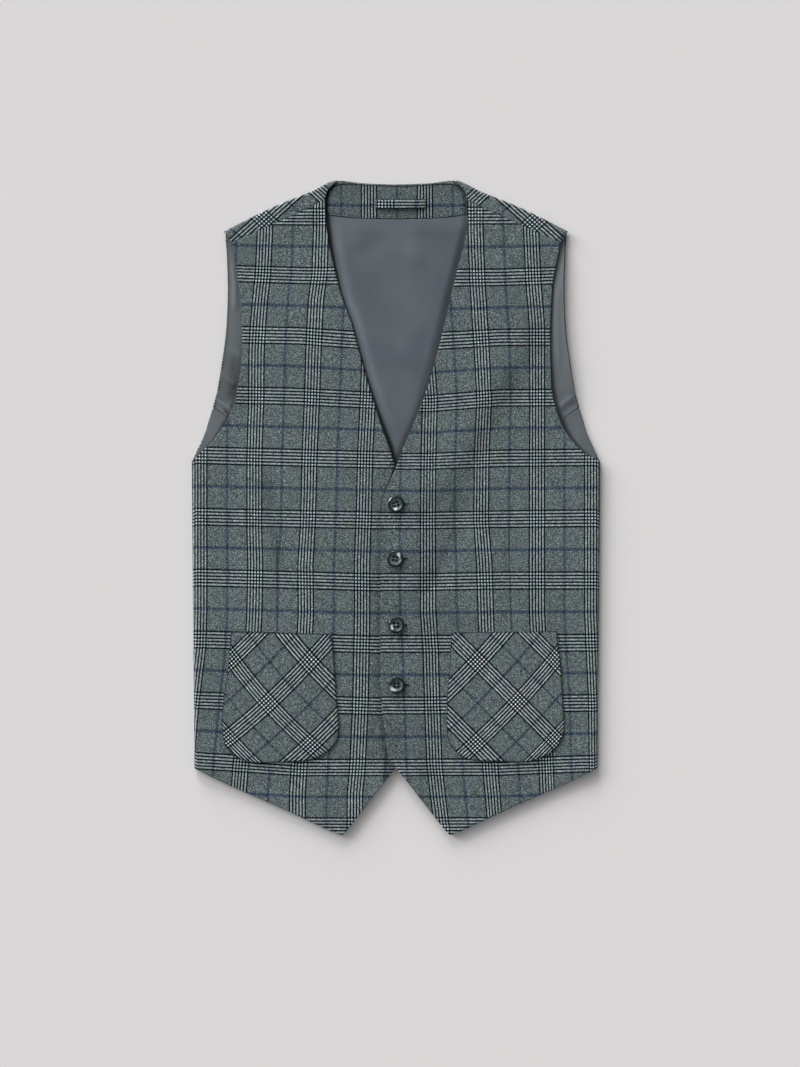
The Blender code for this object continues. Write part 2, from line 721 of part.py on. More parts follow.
def main():
    clear_scene()
    garment = make_collection("suit_waistcoat")
    cutters = make_collection("cutters")
    check = make_material("check_cloth", (0.095, 0.118, 0.116), 0.85)
    satin = make_material("lining_satin", (0.116, 0.127, 0.142), 0.45)
    horn = make_material("dark_button", (0.035, 0.040, 0.045), 0.30)

    sheet_object("back", back_blocks(), CLOTH, garment, check, outer="down", mirrored=True)
    sheet_object("back_lining", lining_blocks(), LINING, garment, satin, mirrored=True)
    sheet_object("neck_facing", facing_blocks(), LINING, garment, check, mirrored=True)
    sheet_object("hanger_loop", loop_blocks(), PATCH, garment, check)
    for hand, side in (("left", 1), ("right", -1)):
        turned = side < 0
        sheet_object(f"front_{hand}", front_blocks(side), CLOTH, garment, check, turned=turned)
        pocket = f"pocket_{hand}"
        sheet_object(pocket, pocket_blocks(pocket, side), PATCH, garment, check, turned=turned)
        strip = f"side_lining_{hand}"
        sheet_object(strip, side_lining_blocks(), LINING, garment, satin, outer="down", turned=turned)

    button = button_mesh(horn, garment, cutters)
    for number, row in enumerate(BUTTONS, start=1):
        piece = bpy.data.objects.new(f"button_{number}", button)
        piece.location = (row.x, row.y, front_height(row.x, row.y) + over_step(row.x) + GAP)
        piece.rotation_euler.z = math.radians(row.turn)
        garment.objects.link(piece)


main()
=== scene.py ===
import math

import bmesh
import bpy
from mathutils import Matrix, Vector, noise


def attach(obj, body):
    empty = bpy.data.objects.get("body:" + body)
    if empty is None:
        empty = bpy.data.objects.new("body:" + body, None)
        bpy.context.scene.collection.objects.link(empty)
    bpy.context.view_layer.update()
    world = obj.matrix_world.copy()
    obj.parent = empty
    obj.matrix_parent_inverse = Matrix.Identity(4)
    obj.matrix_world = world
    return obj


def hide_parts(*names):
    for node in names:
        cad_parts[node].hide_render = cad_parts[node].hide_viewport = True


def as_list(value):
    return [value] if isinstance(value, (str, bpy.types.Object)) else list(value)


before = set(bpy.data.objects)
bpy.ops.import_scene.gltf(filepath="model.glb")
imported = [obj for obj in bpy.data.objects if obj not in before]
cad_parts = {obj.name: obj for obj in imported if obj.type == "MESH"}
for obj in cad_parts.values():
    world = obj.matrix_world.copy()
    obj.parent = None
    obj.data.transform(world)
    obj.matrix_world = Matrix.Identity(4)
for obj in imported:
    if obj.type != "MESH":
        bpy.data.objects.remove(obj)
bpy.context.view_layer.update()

# Metres, +Z up. The wearer's left is +X, and Y runs up the centre back. Each front is drawn in its own
# coordinates, with x growing from the centre line to its own side seam: side is 1 for the wearer's left.
wearersSides = (("Left", 1), ("Right", -1))
grainUnit = 0.0011        # one step of the grain charts below
mergeDistance = 0.00001


def placeObject(name, data):
    thing = bpy.data.objects.new(name, data)
    bpy.context.scene.collection.objects.link(thing)
    return thing


def meshFrom(shape, name):
    mesh = bpy.data.meshes.new(name)
    shape.to_mesh(mesh)
    shape.free()
    return mesh


# light, floor and camera
studio = {
    "middle": (0.0044, -0.0286),
    "frameHeight": 1.1737,
    "lens": 85.0,
    "sensor": 36.0,
    "clothLevel": 0.006,
    "clipEnd": 20.0,
    "floorSize": 9.0,
    "floorDrop": 0.0003,       # below the cloth
    "floorColour": (0.8, 0.785, 0.785),
    "lamps": (   # name, power, spread in degrees, where from
        ("windowLight", 0.95, 50, (-0.6, 0.62, 0.55)),
        ("sideLight", 2.0, 30, (-0.78, 0.48, 0.27)),
        ("farLight", 2.6, 30, (-0.25, 0.9, 0.25)),
    ),
    "fillPower": 0.31,
    "fillColour": (1.0, 0.995, 0.99, 1.0),
}


def buildStudio():
    scene = bpy.context.scene
    scene.view_settings.view_transform = "Standard"
    scene.view_settings.look = "None"
    cameraData = bpy.data.cameras.new("above")
    cameraData.lens = studio["lens"]
    cameraData.sensor_width = studio["sensor"]
    cameraData.clip_end = studio["clipEnd"]
    camera = placeObject("above", cameraData)
    height = studio["clothLevel"] + studio["frameHeight"] * studio["lens"] / studio["sensor"]
    camera.location = (*studio["middle"], height)
    scene.camera = camera

    for name, power, spread, source in studio["lamps"]:
        lampData = bpy.data.lights.new(name, "SUN")
        lampData.energy = power
        lampData.angle = math.radians(spread)
        lamp = placeObject(name, lampData)
        lamp.rotation_mode = "QUATERNION"
        lamp.rotation_quaternion = Vector(source).to_track_quat("Z", "Y")

    world = bpy.data.worlds.new("softRoom")
    world.use_nodes = True
    fill = world.node_tree.nodes["Background"].inputs
    fill["Color"].default_value = studio["fillColour"]
    fill["Strength"].default_value = studio["fillPower"]
    scene.world = world

    half, drop = studio["floorSize"] / 2, studio["floorDrop"]
    floorData = bpy.data.meshes.new("paleFloor")
    corners = [(x * half, y * half, -drop) for x, y in ((-1, -1), (1, -1), (1, 1), (-1, 1))]
    floorData.from_pydata(corners, [], [(0, 1, 2, 3)])
    floor = placeObject("paleFloor", floorData)
    return floor


# shader building
class Signal:
    # one socket of a material, so that shader maths reads as ordinary maths
    def __init__(self, finish, socket):
        self.finish = finish
        self.socket = socket

    def maths(self, operation, *values):
        return self.finish.add("ShaderNodeMath", {"operation": operation}, dict(enumerate(values)))

    def __add__(self, other):
        return self.maths("ADD", self, other)

    def __sub__(self, other):
        return self.maths("SUBTRACT", self, other)

    def __mul__(self, other):
        return self.maths("MULTIPLY", self, other)

    def __truediv__(self, other):
        return self.maths("DIVIDE", self, other)

    def __rsub__(self, other):
        return self.maths("SUBTRACT", other, self)

    def __abs__(self):
        return self.maths("ABSOLUTE", self)

    __radd__ = __add__
    __rmul__ = __mul__

    def over(self, limit):
        return self.maths("GREATER_THAN", self, limit)

    def under(self, limit):
        return self.maths("LESS_THAN", self, limit)

    def fraction(self):
        return self.maths("FRACT", self)

    def whole(self):
        return self.maths("FLOOR", self)

    def sine(self):
        return self.maths("SINE", self)

    def between(self, start, end, low=0.0, high=1.0):
        # smooth step from low at start to high at end
        settings = {"interpolation_type": "SMOOTHSTEP"}
        return self.finish.add("ShaderNodeMapRange", settings, {0: self, 1: start, 2: end, 3: low, 4: high})


class Finish:
    # a material with one Principled BSDF
    def __init__(self, name):
        self.material = bpy.data.materials.new(name)
        self.material.use_nodes = True
        self.tree = self.material.node_tree
        self.shader = self.tree.nodes["Principled BSDF"]

    def add(self, kind, settings, sockets, output=0):
        node = self.tree.nodes.new(kind)
        for key, value in settings.items():
            setattr(node, key, value)
        for key, value in sockets.items():
            self.feed(node.inputs[key], value)
        return Signal(self, node.outputs[output])

    def feed(self, socket, value):
        if isinstance(value, Signal):
            self.tree.links.new(value.socket, socket)
        elif isinstance(value, tuple) and len(value) == 3 and socket.type == "RGBA":
            socket.default_value = (*value, 1.0)
        else:
            socket.default_value = value

    def set(self, **sockets):
        for name, value in sockets.items():
            self.feed(self.shader.inputs[name.replace("_", " ")], value)

    def mixColour(self, share, first, second, blend="MIX"):
        settings = {"data_type": "RGBA", "blend_type": blend}
        return self.add("ShaderNodeMix", settings, {0: share, 6: first, 7: second}, output=2)

    def tinted(self, colour, tint):
        return self.mixColour(1.0, colour, tint, "MULTIPLY")

    def scaled(self, colour, amount):
        # colour times a number
        return self.add("ShaderNodeVectorMath", {"operation": "SCALE"}, {0: colour, 3: amount})

    def parts(self, vector):
        node = self.add("ShaderNodeSeparateXYZ", {}, {0: vector}).socket.node
        return [Signal(self, socket) for socket in node.outputs]

    def joined(self, x, y, z=0.0):
        return self.add("ShaderNodeCombineXYZ", {}, {0: x, 1: y, 2: z})

    def attribute(self, name):
        return self.add("ShaderNodeAttribute", {"attribute_name": name}, {}, output="Fac")

    def withPaintedShade(self, colour):
        # painted shade: a dark line painted in the crease beside an edge, and painted light and shade in soft
        # lighter and darker places
        fromEdge = self.attribute("fromEdge") / (self.attribute("edgeWidth") + 0.0001)
        dark = self.attribute("paintedEdgeShade") * fromEdge.between(0.25, 1.0, 1.0, 0.0)
        return self.scaled(colour, (1.0 - dark) * (1.0 + self.attribute("paintedLightShade")))

    def place(self):
        return self.add("ShaderNodeTexCoord", {}, {}, output="Object")

    def grain(self):
        return self.parts(self.add("ShaderNodeUVMap", {"uv_map": "grain"}, {}))[:2]

    def cloud(self, vector, scale, detail=2.0, roughness=0.5):
        sockets = {"Vector": vector, "Scale": scale, "Detail": detail, "Roughness": roughness}
        return self.add("ShaderNodeTexNoise", {}, sockets)

    def raised(self, base, power):
        return self.add("ShaderNodeMath", {"operation": "POWER"}, {0: base, 1: power})

    def speck(self, x, y):
        # one random value for each whole step of x and y
        vector = self.joined(x.whole(), y.whole())
        return self.add("ShaderNodeTexWhiteNoise", {"noise_dimensions": "2D"}, {"Vector": vector})

    def bump(self, height, distance, strength):
        return self.add("ShaderNodeBump", {}, {"Height": height, "Distance": distance, "Strength": strength})


# the check cloth's weave and colours
checkCloth = {
    "threads": 148.0,          # in one repeat, across and along
    "lineThreads": 4.0,        # light or dark threads that lie together
    "groupHalf": 22.0,         # threads from the middle of a group of lines to its edge
    "blueStart": 70.2,         # threads from the middle of a group to the windowpane line
    "pairDark": 0.88,          # the ground's twill: every other pair of threads is this dark
    "pairGain": 0.24,          # and the next is lighter by this
    "groundGreen": (0.134, 0.1695, 0.169),
    "groundGrey": (0.138, 0.1675, 0.176),
    "lightLine": 2.18,
    "lightTint": (1.06, 1.0, 1.015),
    "crossing": 0.84,          # share of the light that a crossing of two light lines keeps
    "crossingBlend": 0.15,     # how far threads that cross in a group show side by side
    "darkLine": 0.045,
    "darkTint": (0.72, 1.25, 1.38),
    "blueTint": (0.43, 0.51, 0.7),
    "fleckLength": 3.0,        # threads
    "fleckStagger": 0.37,      # from one thread to the next
    "fleck": 1.9,
    "haze": 3.9,
    "mottleBase": 3.0,         # raised to the power of fleck and haze together
    "lineMottle": 0.2,        # share of the mottle that a light line loses
    "hazeScale": 950.0,
    "dyeLevel": 0.83,
    "warpBlueShare": 0.86,
    "blotchScale": 62.0,
    "fluffScale": 2600.0,
    "fluff": 0.6,
    "yarnHeight": 0.00012,
    "dartWidth": (0.0003, 0.0011),     # full and gone
    "dartDark": 0.55,
    "dartDip": 4.0,
}
# what differs where it is cut on the bias
biasCloth = {
    "blueStart": 71.0,
    "blueTint": (0.42, 0.48, 0.62),
    "lightLine": 2.4,
    "darkLine": 0.012,
    "crossingBlend": 0.08,
    "dyeLevel": 0.8,
}


def makeCheckCloth(name, changes):
    finish = Finish(name)
    s = {**checkCloth, **changes}
    across, along = finish.grain()
    pastDart = finish.attribute("dartSide")
    across = across + finish.attribute("dartShift") * pastDart.over(0.0)
    warp, weft = across * s["threads"], along * s["threads"]
    warpOnTop = ((warp.whole() + weft.whole()) / 4.0).fraction().under(0.5)

    def yarnDye(threads, onTop):
        # how light these threads are beside the ground, and where they are blue
        fromGroup = abs((threads / s["threads"] + 0.5).fraction() - 0.5) * s["threads"]
        inGroup = fromGroup.under(s["groupHalf"])
        light = (fromGroup / (2 * s["lineThreads"]) + 0.25).fraction().under(0.5)
        line = s["darkLine"] + light * (s["lightLine"] - s["darkLine"])
        pair = (threads.whole() / 4.0 + 0.01).fraction().under(0.5)
        ground = s["pairDark"] + pair * s["pairGain"] * onTop
        inLine = inGroup * light
        dye = ground + inGroup * (line - ground)
        return dye, fromGroup.over(s["blueStart"]), inLine, inGroup - inLine

    warpDye, warpBlue, warpLight, warpDark = yarnDye(warp, warpOnTop)
    weftDye, weftBlue, weftLight, weftDark = yarnDye(weft, 1.0 - warpOnTop)
    place = finish.place()

    def yarnFleck(threads, others):
        return finish.speck(threads, others / s["fleckLength"] + threads.whole() * s["fleckStagger"])

    weftFleck = yarnFleck(weft, warp)
    fleck = weftFleck + warpOnTop * (yarnFleck(warp, weft) - weftFleck)
    haze = finish.cloud(place, s["hazeScale"], 2.0, 0.6)
    uneven = (fleck - 0.5) * s["fleck"] + (haze - 0.5) * s["haze"]
    mottle = finish.raised(s["mottleBase"], uneven * (1.0 - (warpLight + weftLight) * s["lineMottle"]))
    crossed = 1.0 - warpLight * weftLight * (1.0 - s["crossing"])
    inBoth = (warpLight + warpDark) * (weftLight + weftDark)
    dye = warpDye * weftDye * crossed
    dye = dye + inBoth * s["crossingBlend"] * ((warpDye + weftDye) * 0.5 - dye)
    shade = dye * mottle * s["dyeLevel"]

    blotch = finish.cloud(place, s["blotchScale"], 2.0).between(0.38, 0.62)
    ground = finish.mixColour(blotch, s["groundGreen"], s["groundGrey"])
    white = (1.0, 1.0, 1.0)
    blue = finish.mixColour(warpBlue * s["warpBlueShare"], white, s["blueTint"])
    blue = finish.mixColour(weftBlue, blue, finish.tinted(blue, s["blueTint"]))
    dartLine = abs(pastDart).between(*s["dartWidth"], 1.0, 0.0)
    dartLine = dartLine * abs(finish.attribute("dartShift")).between(0.0, 0.03)
    lines = finish.mixColour(warpLight, white, s["lightTint"])
    lines = finish.mixColour(weftLight, lines, finish.tinted(lines, s["lightTint"]))
    lines = finish.mixColour(warpDark + weftDark, lines, s["darkTint"])
    colour = finish.tinted(finish.tinted(ground, blue), lines)
    colour = finish.withPaintedShade(finish.scaled(colour, shade * (1.0 - s["dartDark"] * dartLine)))

    warpHump = (warp.fraction() * math.pi).sine()
    weftHump = (weft.fraction() * math.pi).sine()
    yarns = weftHump + warpOnTop * (warpHump - weftHump)
    fluff = finish.cloud(place, s["fluffScale"], 2.0)
    height = yarns + fluff * s["fluff"] - dartLine * s["dartDip"]
    finish.set(Base_Color=colour, Roughness=0.9, Specular_IOR_Level=0.1)
    finish.set(Sheen_Weight=0.05, Sheen_Roughness=0.5)
    finish.set(Normal=finish.bump(height, s["yarnHeight"], 0.6))
    return finish.material


liningSatin = {
    "colour": (0.091, 0.106, 0.129),
    "paler": (0.11, 0.129, 0.142),
    # painted light: the lining is paler where it lies in the armholes
    "armholesPaintedSheen": (0.109, 0.125, 0.138),
    "armholesFrom": (0.13, 0.16),      # from the centre line, none and full
    "driftScale": 13.0,
    "streakScale": (3000.0, 120.0),
    "streakDark": 0.93,
    "streakGain": 0.14,
    "thread": 0.00022,
}


def makeLiningSatin():
    finish = Finish("slateSatin")
    s = liningSatin
    place = finish.place()
    x, y = finish.parts(place)[:2]
    drift = finish.cloud(place, s["driftScale"], 2.0).between(0.35, 0.65)
    streak = finish.cloud(finish.joined(x * s["streakScale"][0], y * s["streakScale"][1]), 1.0, 2.0)
    colour = finish.mixColour(drift, s["colour"], s["paler"])
    colour = finish.mixColour(abs(x).between(*s["armholesFrom"]), colour, s["armholesPaintedSheen"])
    colour = finish.withPaintedShade(finish.scaled(colour, s["streakDark"] + streak * s["streakGain"]))
    weave = ((x + y * 0.25) * (2 * math.pi / s["thread"])).sine()
    finish.set(Base_Color=colour, Roughness=0.5 + streak * 0.1, Specular_IOR_Level=0.35)
    finish.set(Sheen_Weight=0.12, Sheen_Roughness=0.4)
    finish.set(Normal=finish.bump(weave * 0.5 + streak, 0.00002, 0.5))
    return finish.material


darkButton = {
    "deep": (0.024, 0.036, 0.038),
    "pale": (0.128, 0.162, 0.167),
    # near-black rim: the horn's own darker rim, painted darker still in place of the dark reflections it
    # would show
    "rim": (0.004, 0.008, 0.0085),
    # near-white: pale spots and painted highlights
    "paleAndGlint": (0.88, 0.93, 0.92),
    "cloudScale": 230.0,
    "cloudShare": 0.65,
    "veinScale": 900.0,
}


def makeDarkButton():
    finish = Finish("mottledHorn")
    s = darkButton
    place = finish.place()
    clouded = finish.cloud(place, s["cloudScale"], 3.0, 0.6).between(0.36, 0.6)
    vein = finish.cloud(place, s["veinScale"], 4.0, 0.65).between(0.4, 0.62)
    mottle = clouded * s["cloudShare"] + vein * (1.0 - s["cloudShare"])
    face = finish.mixColour(mottle, s["deep"], s["pale"])
    rim = finish.attribute("rim")
    face = finish.mixColour(rim, face, s["rim"])
    paleAndGlint = finish.attribute("paleAndGlint").between(0.05, 0.95) * (0.7 + vein * 0.3)
    colour = finish.mixColour(paleAndGlint, face, s["paleAndGlint"])
    # painted shade: near-black in and round the drilled holes
    colour = finish.mixColour(finish.attribute("hole"), colour, s["rim"])
    finish.set(Base_Color=colour, Roughness=0.34 + vein * 0.12 - rim * 0.12)
    finish.set(Specular_IOR_Level=0.2, Coat_Weight=rim * 0.25, Coat_Roughness=0.08)
    finish.set(Normal=finish.bump(finish.cloud(place, s["veinScale"], 2.0), 0.00003, 0.4))
    return finish.material


sewingThread = {"twist": 0.0005, "patchScale": 900.0, "patchDark": 0.75, "patchGain": 0.5}


def makeThread(name, colour):
    finish = Finish(name)
    s = sewingThread
    place = finish.place()
    x, y = finish.parts(place)[:2]
    twist = ((x + y) * (2 * math.pi / s["twist"])).sine()
    patchy = s["patchDark"] + finish.cloud(place, s["patchScale"], 2.0) * s["patchGain"]
    finish.set(Base_Color=finish.scaled(colour, patchy), Roughness=0.62, Specular_IOR_Level=0.15)
    finish.set(Normal=finish.bump(twist, 0.00004, 0.5))
    return finish.material


def makeFloorPaint():
    finish = Finish("matFloor")
    faint = finish.cloud(finish.place(), 3.0, 1.0)
    finish.set(Base_Color=finish.scaled(studio["floorColour"], 0.995 + faint * 0.01), Roughness=0.9)
    finish.set(Specular_IOR_Level=0.1)
    return finish.material


floor = buildStudio()
floor.data.materials.append(makeFloorPaint())
check = makeCheckCloth("glenCheckWorsted", {})
biasCheck = makeCheckCloth("glenCheckOnTheBias", biasCloth)
satin = makeLiningSatin()
horn = makeDarkButton()
paleThread = makeThread("paleThread", (0.36, 0.39, 0.39))
blackThread = makeThread("blackThread", (0.006, 0.008, 0.009))
darkThread = makeThread("charcoalThread", (0.045, 0.052, 0.058))
slateThread = makeThread("slateThread", (0.085, 0.1, 0.104))
greyThread = makeThread("greyThread", (0.16, 0.18, 0.185))
print("studio and finishes made")


# curves and patches
def clamped(value):
    return min(max(value, 0.0), 1.0)


def smoothstep(value):
    value = clamped(value)
    return value * value * (3.0 - 2.0 * value)


def mix(start, end, share):
    return start + (end - start) * share


def smoothThrough(outline, count):
    # count + 1 evenly spaced points on a smooth curve through the outline's points
    points = [Vector((row[0], row[1])) for row in outline]
    guides = [points[0] * 2 - points[1], *points, points[-1] * 2 - points[-2]]
    fine = []
    for i in range(1, len(guides) - 2):
        start, end = guides[i], guides[i + 1]
        span = (end - start).length
        leave = (end - guides[i - 1]) * (span / (end - guides[i - 1]).length)
        arrive = (guides[i + 2] - start) * (span / (guides[i + 2] - start).length)
        for step in range(16):
            t = step / 16
            point = start * (2 * t**3 - 3 * t**2 + 1) + leave * (t**3 - 2 * t**2 + t)
            fine.append(point + end * (3 * t**2 - 2 * t**3) + arrive * (t**3 - t**2))
    fine.append(points[-1])
    return evenlySpaced(fine, count)


def evenlySpaced(points, count):
    reach = [0.0]
    for a, b in zip(points, points[1:]):
        reach.append(reach[-1] + (b - a).length)
    found = []
    segment = 0
    for i in range(count + 1):
        target = reach[-1] * i / count
        while segment < len(points) - 2 and reach[segment + 1] < target:
            segment += 1
        length = reach[segment + 1] - reach[segment]
        found.append(points[segment].lerp(points[segment + 1], (target - reach[segment]) / length))
    return found


def straight(start, end, count):
    start, end = Vector((start[0], start[1])), Vector((end[0], end[1]))
    return [start.lerp(end, i / count) for i in range(count + 1)]


def evenShares(count):
    return [i / count for i in range(count + 1)]


def blendPatch(bottom, top, inner, outer, across=None, up=None):
    # rows of points between four edge curves that share their corners, evenly spaced or at the shares given
    across, up = across or evenShares(len(bottom) - 1), up or evenShares(len(inner) - 1)
    patch = []
    for r, v in enumerate(up):
        row = []
        for c, u in enumerate(across):
            corners = bottom[0].lerp(bottom[-1], u).lerp(top[0].lerp(top[-1], u), v)
            row.append(inner[r].lerp(outer[r], u) + bottom[c].lerp(top[c], v) - corners)
        patch.append(row)
    return patch


def directions(points):
    # which way a line runs at each of its points
    found = []
    for i in range(len(points)):
        along = points[min(i + 1, len(points) - 1)] - points[max(i - 1, 0)]
        found.append(along.normalized())
    return found


def movedAside(points, distance):
    # the same line moved to the left of its direction of travel
    return [p + Vector((-along.y, along.x)) * distance for p, along in zip(points, directions(points))]


def readTable(table, position, key, value, beyond=None):
    # straight-line reading of a table by its key column, carried on past its ends by a slope if given
    rows = sorted(table, key=lambda row: row[key])
    if position <= rows[0][key]:
        return rows[0][value] + (0.0 if beyond is None else (position - rows[0][key]) * beyond)
    for low, high in zip(rows, rows[1:]):
        if position <= high[key]:
            return mix(low[value], high[value], (position - low[key]) / (high[key] - low[key]))
    return rows[-1][value] + (0.0 if beyond is None else (position - rows[-1][key]) * beyond)


# the cut of the garment
cloth = {
    "wall": 0.0018,
    "liningWall": 0.001,
    "patchWall": 0.0013,
    "gap": 0.0003,
    "sideFold": 0.0037,        # radius of the fold at the side
    "neckFold": 0.0027,        # radius of the shoulder fold at the neck
    "shoulderFold": 0.0034,    # and at the armhole
    "neckLean": -0.45,         # how the fold's end leans in over the neck corner
    "neckLeanFade": 0.009,
    "sideRise": 0.05,
    "shoulderRise": 0.06,
    "overlapReach": 0.0185,
    "overlapFade": 0.026,
    "overlapSlack": 0.00005,
    "halfChest": 0.2249,
    "halfHem": 0.2219,
    "underarmY": 0.05,
    "sideHemY": -0.2868,
    "tipLift": 0.0024,         # how far the fronts' points stand off the floor
    "hemWall": 0.0036,         # the turned-up hem there
    "hemTurn": 0.014,
    "hemFade": 0.02,
    "tipStart": 0.006,         # past the back's hem, where the fronts begin to come down
    "tipFade": 0.05,
    "tipRelief": 0.3,          # share of the soft relief that is left there
    "backHemMiddle": -0.2755,
    "backHemSide": -0.285,
    "liningHemRise": 0.014,
    "sideLiningDepth": 0.045,
    "edgeShow": 0.0007,        # of the cloth's edge beside its lining
    "mesh": 0.0032,            # size of a face
}
liningTop = cloth["wall"] + cloth["gap"] + cloth["liningWall"]
frontRest = liningTop + cloth["gap"] + cloth["wall"]
overlapStep = cloth["wall"] + cloth["gap"] + cloth["overlapSlack"]

# neckline and front edge from the shoulder seam down: y, then x on the wearer's left and right front
frontEdge = (
    (0.3388, 0.078, 0.078), (0.3097, 0.0787, 0.0763), (0.2877, 0.0744, 0.073), (0.2634, 0.0684, 0.0675),
    (0.237, 0.0618, 0.0609), (0.2063, 0.0546, 0.0495), (0.1538, 0.0415, 0.0354), (0.1183, 0.0304, 0.025),
    (0.0908, 0.0193, 0.016), (0.0627, 0.0068, 0.0061), (0.044, 0.0, 0.0), (0.0237, -0.0088, -0.0088),
    (0.0083, -0.0143, -0.0143), (-0.0248, -0.0165, -0.0165), (-0.1018, -0.017, -0.017),
    (-0.2008, -0.0165, -0.0165), (-0.2393, -0.0132, -0.0132), (-0.2749, -0.009, -0.009),
)
# armhole edge of the fronts from the underarm up, given in the same way
frontArmhole = (
    (0.0528, 0.2212, 0.2212), (0.0585, 0.2087, 0.2168), (0.0672, 0.1992, 0.207), (0.0774, 0.1906, 0.1983),
    (0.0884, 0.1836, 0.1904), (0.1041, 0.1772, 0.1818), (0.1167, 0.1734, 0.1766), (0.134, 0.1709, 0.174),
    (0.1513, 0.1702, 0.1711), (0.1755, 0.1694, 0.1694), (0.2008, 0.1696, 0.1696), (0.2448, 0.1719, 0.1727),
    (0.2613, 0.1747, 0.1755), (0.2916, 0.1806, 0.1806),
)
# the rest are x, y and the same on both sides
hemToTip = ((-0.009, -0.2749), (0.025, -0.318), (0.054, -0.3552), (0.0592, -0.3602))
hemToSide = (
    (0.0592, -0.3602), (0.0694, -0.3572), (0.114, -0.3364), (0.1436, -0.3231), (0.179, -0.3077),
    (0.1993, -0.2982), (0.2182, -0.2888),
)
underHemEnd = Vector((0.2182, -0.286))
shoulderSeam = ((0.078, 0.3388), (0.0894, 0.3328), (0.1078, 0.324), (0.1298, 0.3141), (0.1806, 0.2916))
shoulderFold = (
    (0.0652, 0.3602), (0.0696, 0.3596), (0.0765, 0.3569), (0.0924, 0.3484), (0.1298, 0.3333),
    (0.159, 0.3196), (0.1893, 0.3041),
)
shoulderNeckEdge = ((0.0759, 0.348), (0.078, 0.3388))
backNeck = (
    (0.0, 0.356), (0.02, 0.3565), (0.036, 0.3573), (0.046, 0.3583), (0.055, 0.3597), (0.0645, 0.3602),
)
turnArmhole = ((0.2212, 0.0582), (0.2184, 0.0645), (0.2112, 0.0798), (0.2055, 0.098), (0.2024, 0.108))
backArmhole = (
    (0.2014, 0.1112), (0.1969, 0.1282), (0.1909, 0.1645), (0.187, 0.1953), (0.1852, 0.2392), (0.1862, 0.2756),
    (0.1879, 0.301),
)
sideSeamBelow = ((0.1881, -0.285), (0.1852, -0.14), (0.1843, 0.0), (0.1837, 0.05))
sideSeamAbove = ((0.1837, 0.05), (0.1836, 0.078), (0.1856, 0.0965), (0.193, 0.105), (0.2009, 0.1092))
facingLowerEdge = ((0.0, 0.3177), (0.0495, 0.3193), (0.0836, 0.3232))
facingUpperEdge = (
    (0.0, 0.3547), (0.025, 0.3554), (0.042, 0.3565), (0.054, 0.357), (0.064, 0.3562), (0.0708, 0.3548),
)
facingEnd = ((0.0836, 0.3232), (0.083, 0.34), (0.078, 0.348), (0.0708, 0.3548))
liningShoulder = ((0.0836, 0.3232), (0.13, 0.31), (0.16, 0.3034), (0.1866, 0.2975))

# pockets from the top inner corner round the bag to the top outer one: inner edge, bag, outer edge
pocketOutlines = {
    "Left": (
        ((0.0608, -0.1375), (0.0593, -0.1645), (0.0557, -0.2283), (0.0574, -0.2552), (0.0665, -0.269)),
        ((0.0665, -0.269), (0.0762, -0.2756), (0.089, -0.2784), (0.1177, -0.2794), (0.1463, -0.2794),
         (0.168, -0.2715)),
        ((0.168, -0.2715), (0.181, -0.257), (0.1848, -0.2431), (0.1835, -0.2129), (0.1811, -0.1722),
         (0.1767, -0.1359)),
    ),
    "Right": (
        ((0.0715, -0.1392), (0.0683, -0.1634), (0.0656, -0.2063), (0.0627, -0.2448), (0.0651, -0.2561),
         (0.0735, -0.2669)),
        ((0.0735, -0.2669), (0.084, -0.2738), (0.0979, -0.2785), (0.128, -0.2802), (0.16, -0.2803),
         (0.1775, -0.2737)),
        ((0.1775, -0.2737), (0.1873, -0.2628), (0.1911, -0.247), (0.1918, -0.2338), (0.1892, -0.2085),
         (0.1845, -0.1744), (0.1817, -0.1365)),
    ),
}


def columnOf(x):
    # which column of a table is for that side of the garment
    return 1 if x > 0.0 else 2


def onSide(table, side):
    return [(row[columnOf(side)], row[0]) for row in table]


def facesAlong(length):
    return max(2, round(length / cloth["mesh"]))


# soft relief of the fronts
# broad swells: x, y, reach across, reach along, height
swells = (
    (0.112, 0.145, 0.055, 0.1, 0.002), (0.105, -0.09, 0.07, 0.12, 0.0014),
    (0.15, -0.235, 0.05, 0.045, 0.0008), (0.06, 0.02, 0.04, 0.07, 0.0012),
    (0.055, 0.25, 0.03, 0.06, 0.0008),
)
# creases: garment x and y along the line, width, height (below zero for a trough)
creases = (
    (((0.14, 0.165), (0.118, 0.115), (0.088, 0.055), (0.062, 0.012)), 0.014, -0.0015),
    (((0.1, 0.05), (0.086, 0.022), (0.078, -0.02)), 0.011, 0.0003),
    (((0.066, 0.024), (0.074, -0.014), (0.066, -0.046)), 0.007, -0.001),
    (((0.062, 0.022), (0.038, -0.008), (0.016, -0.027)), 0.008, -0.0014),
    (((0.066, -0.04), (0.04, -0.082), (0.016, -0.102)), 0.008, -0.0012),
    (((0.05, -0.02), (0.036, -0.044), (0.022, -0.06)), 0.007, 0.0007),
    (((0.07, -0.085), (0.052, -0.104), (0.036, -0.12)), 0.008, 0.0006),
    (((-0.139, 0.032), (-0.134, -0.004), (-0.131, -0.04)), 0.0075, -0.0013),
    (((-0.11, 0.074), (-0.114, 0.04), (-0.116, 0.0)), 0.01, 0.0006),
    (((-0.176, 0.15), (-0.168, 0.11), (-0.166, 0.08)), 0.009, -0.0008),
    (((-0.131, -0.04), (-0.131, -0.09), (-0.132, -0.135)), 0.005, -0.0007),
    (((0.124, -0.03), (0.126, -0.08), (0.128, -0.135)), 0.005, -0.0007),
    (((-0.206, 0.03), (-0.202, -0.06), (-0.204, -0.14)), 0.009, 0.0005),
    (((-0.06, -0.235), (-0.052, -0.285), (-0.06, -0.33)), 0.012, -0.0007),
    (((0.05, -0.25), (0.072, -0.3), (0.084, -0.33)), 0.012, -0.0007),
)


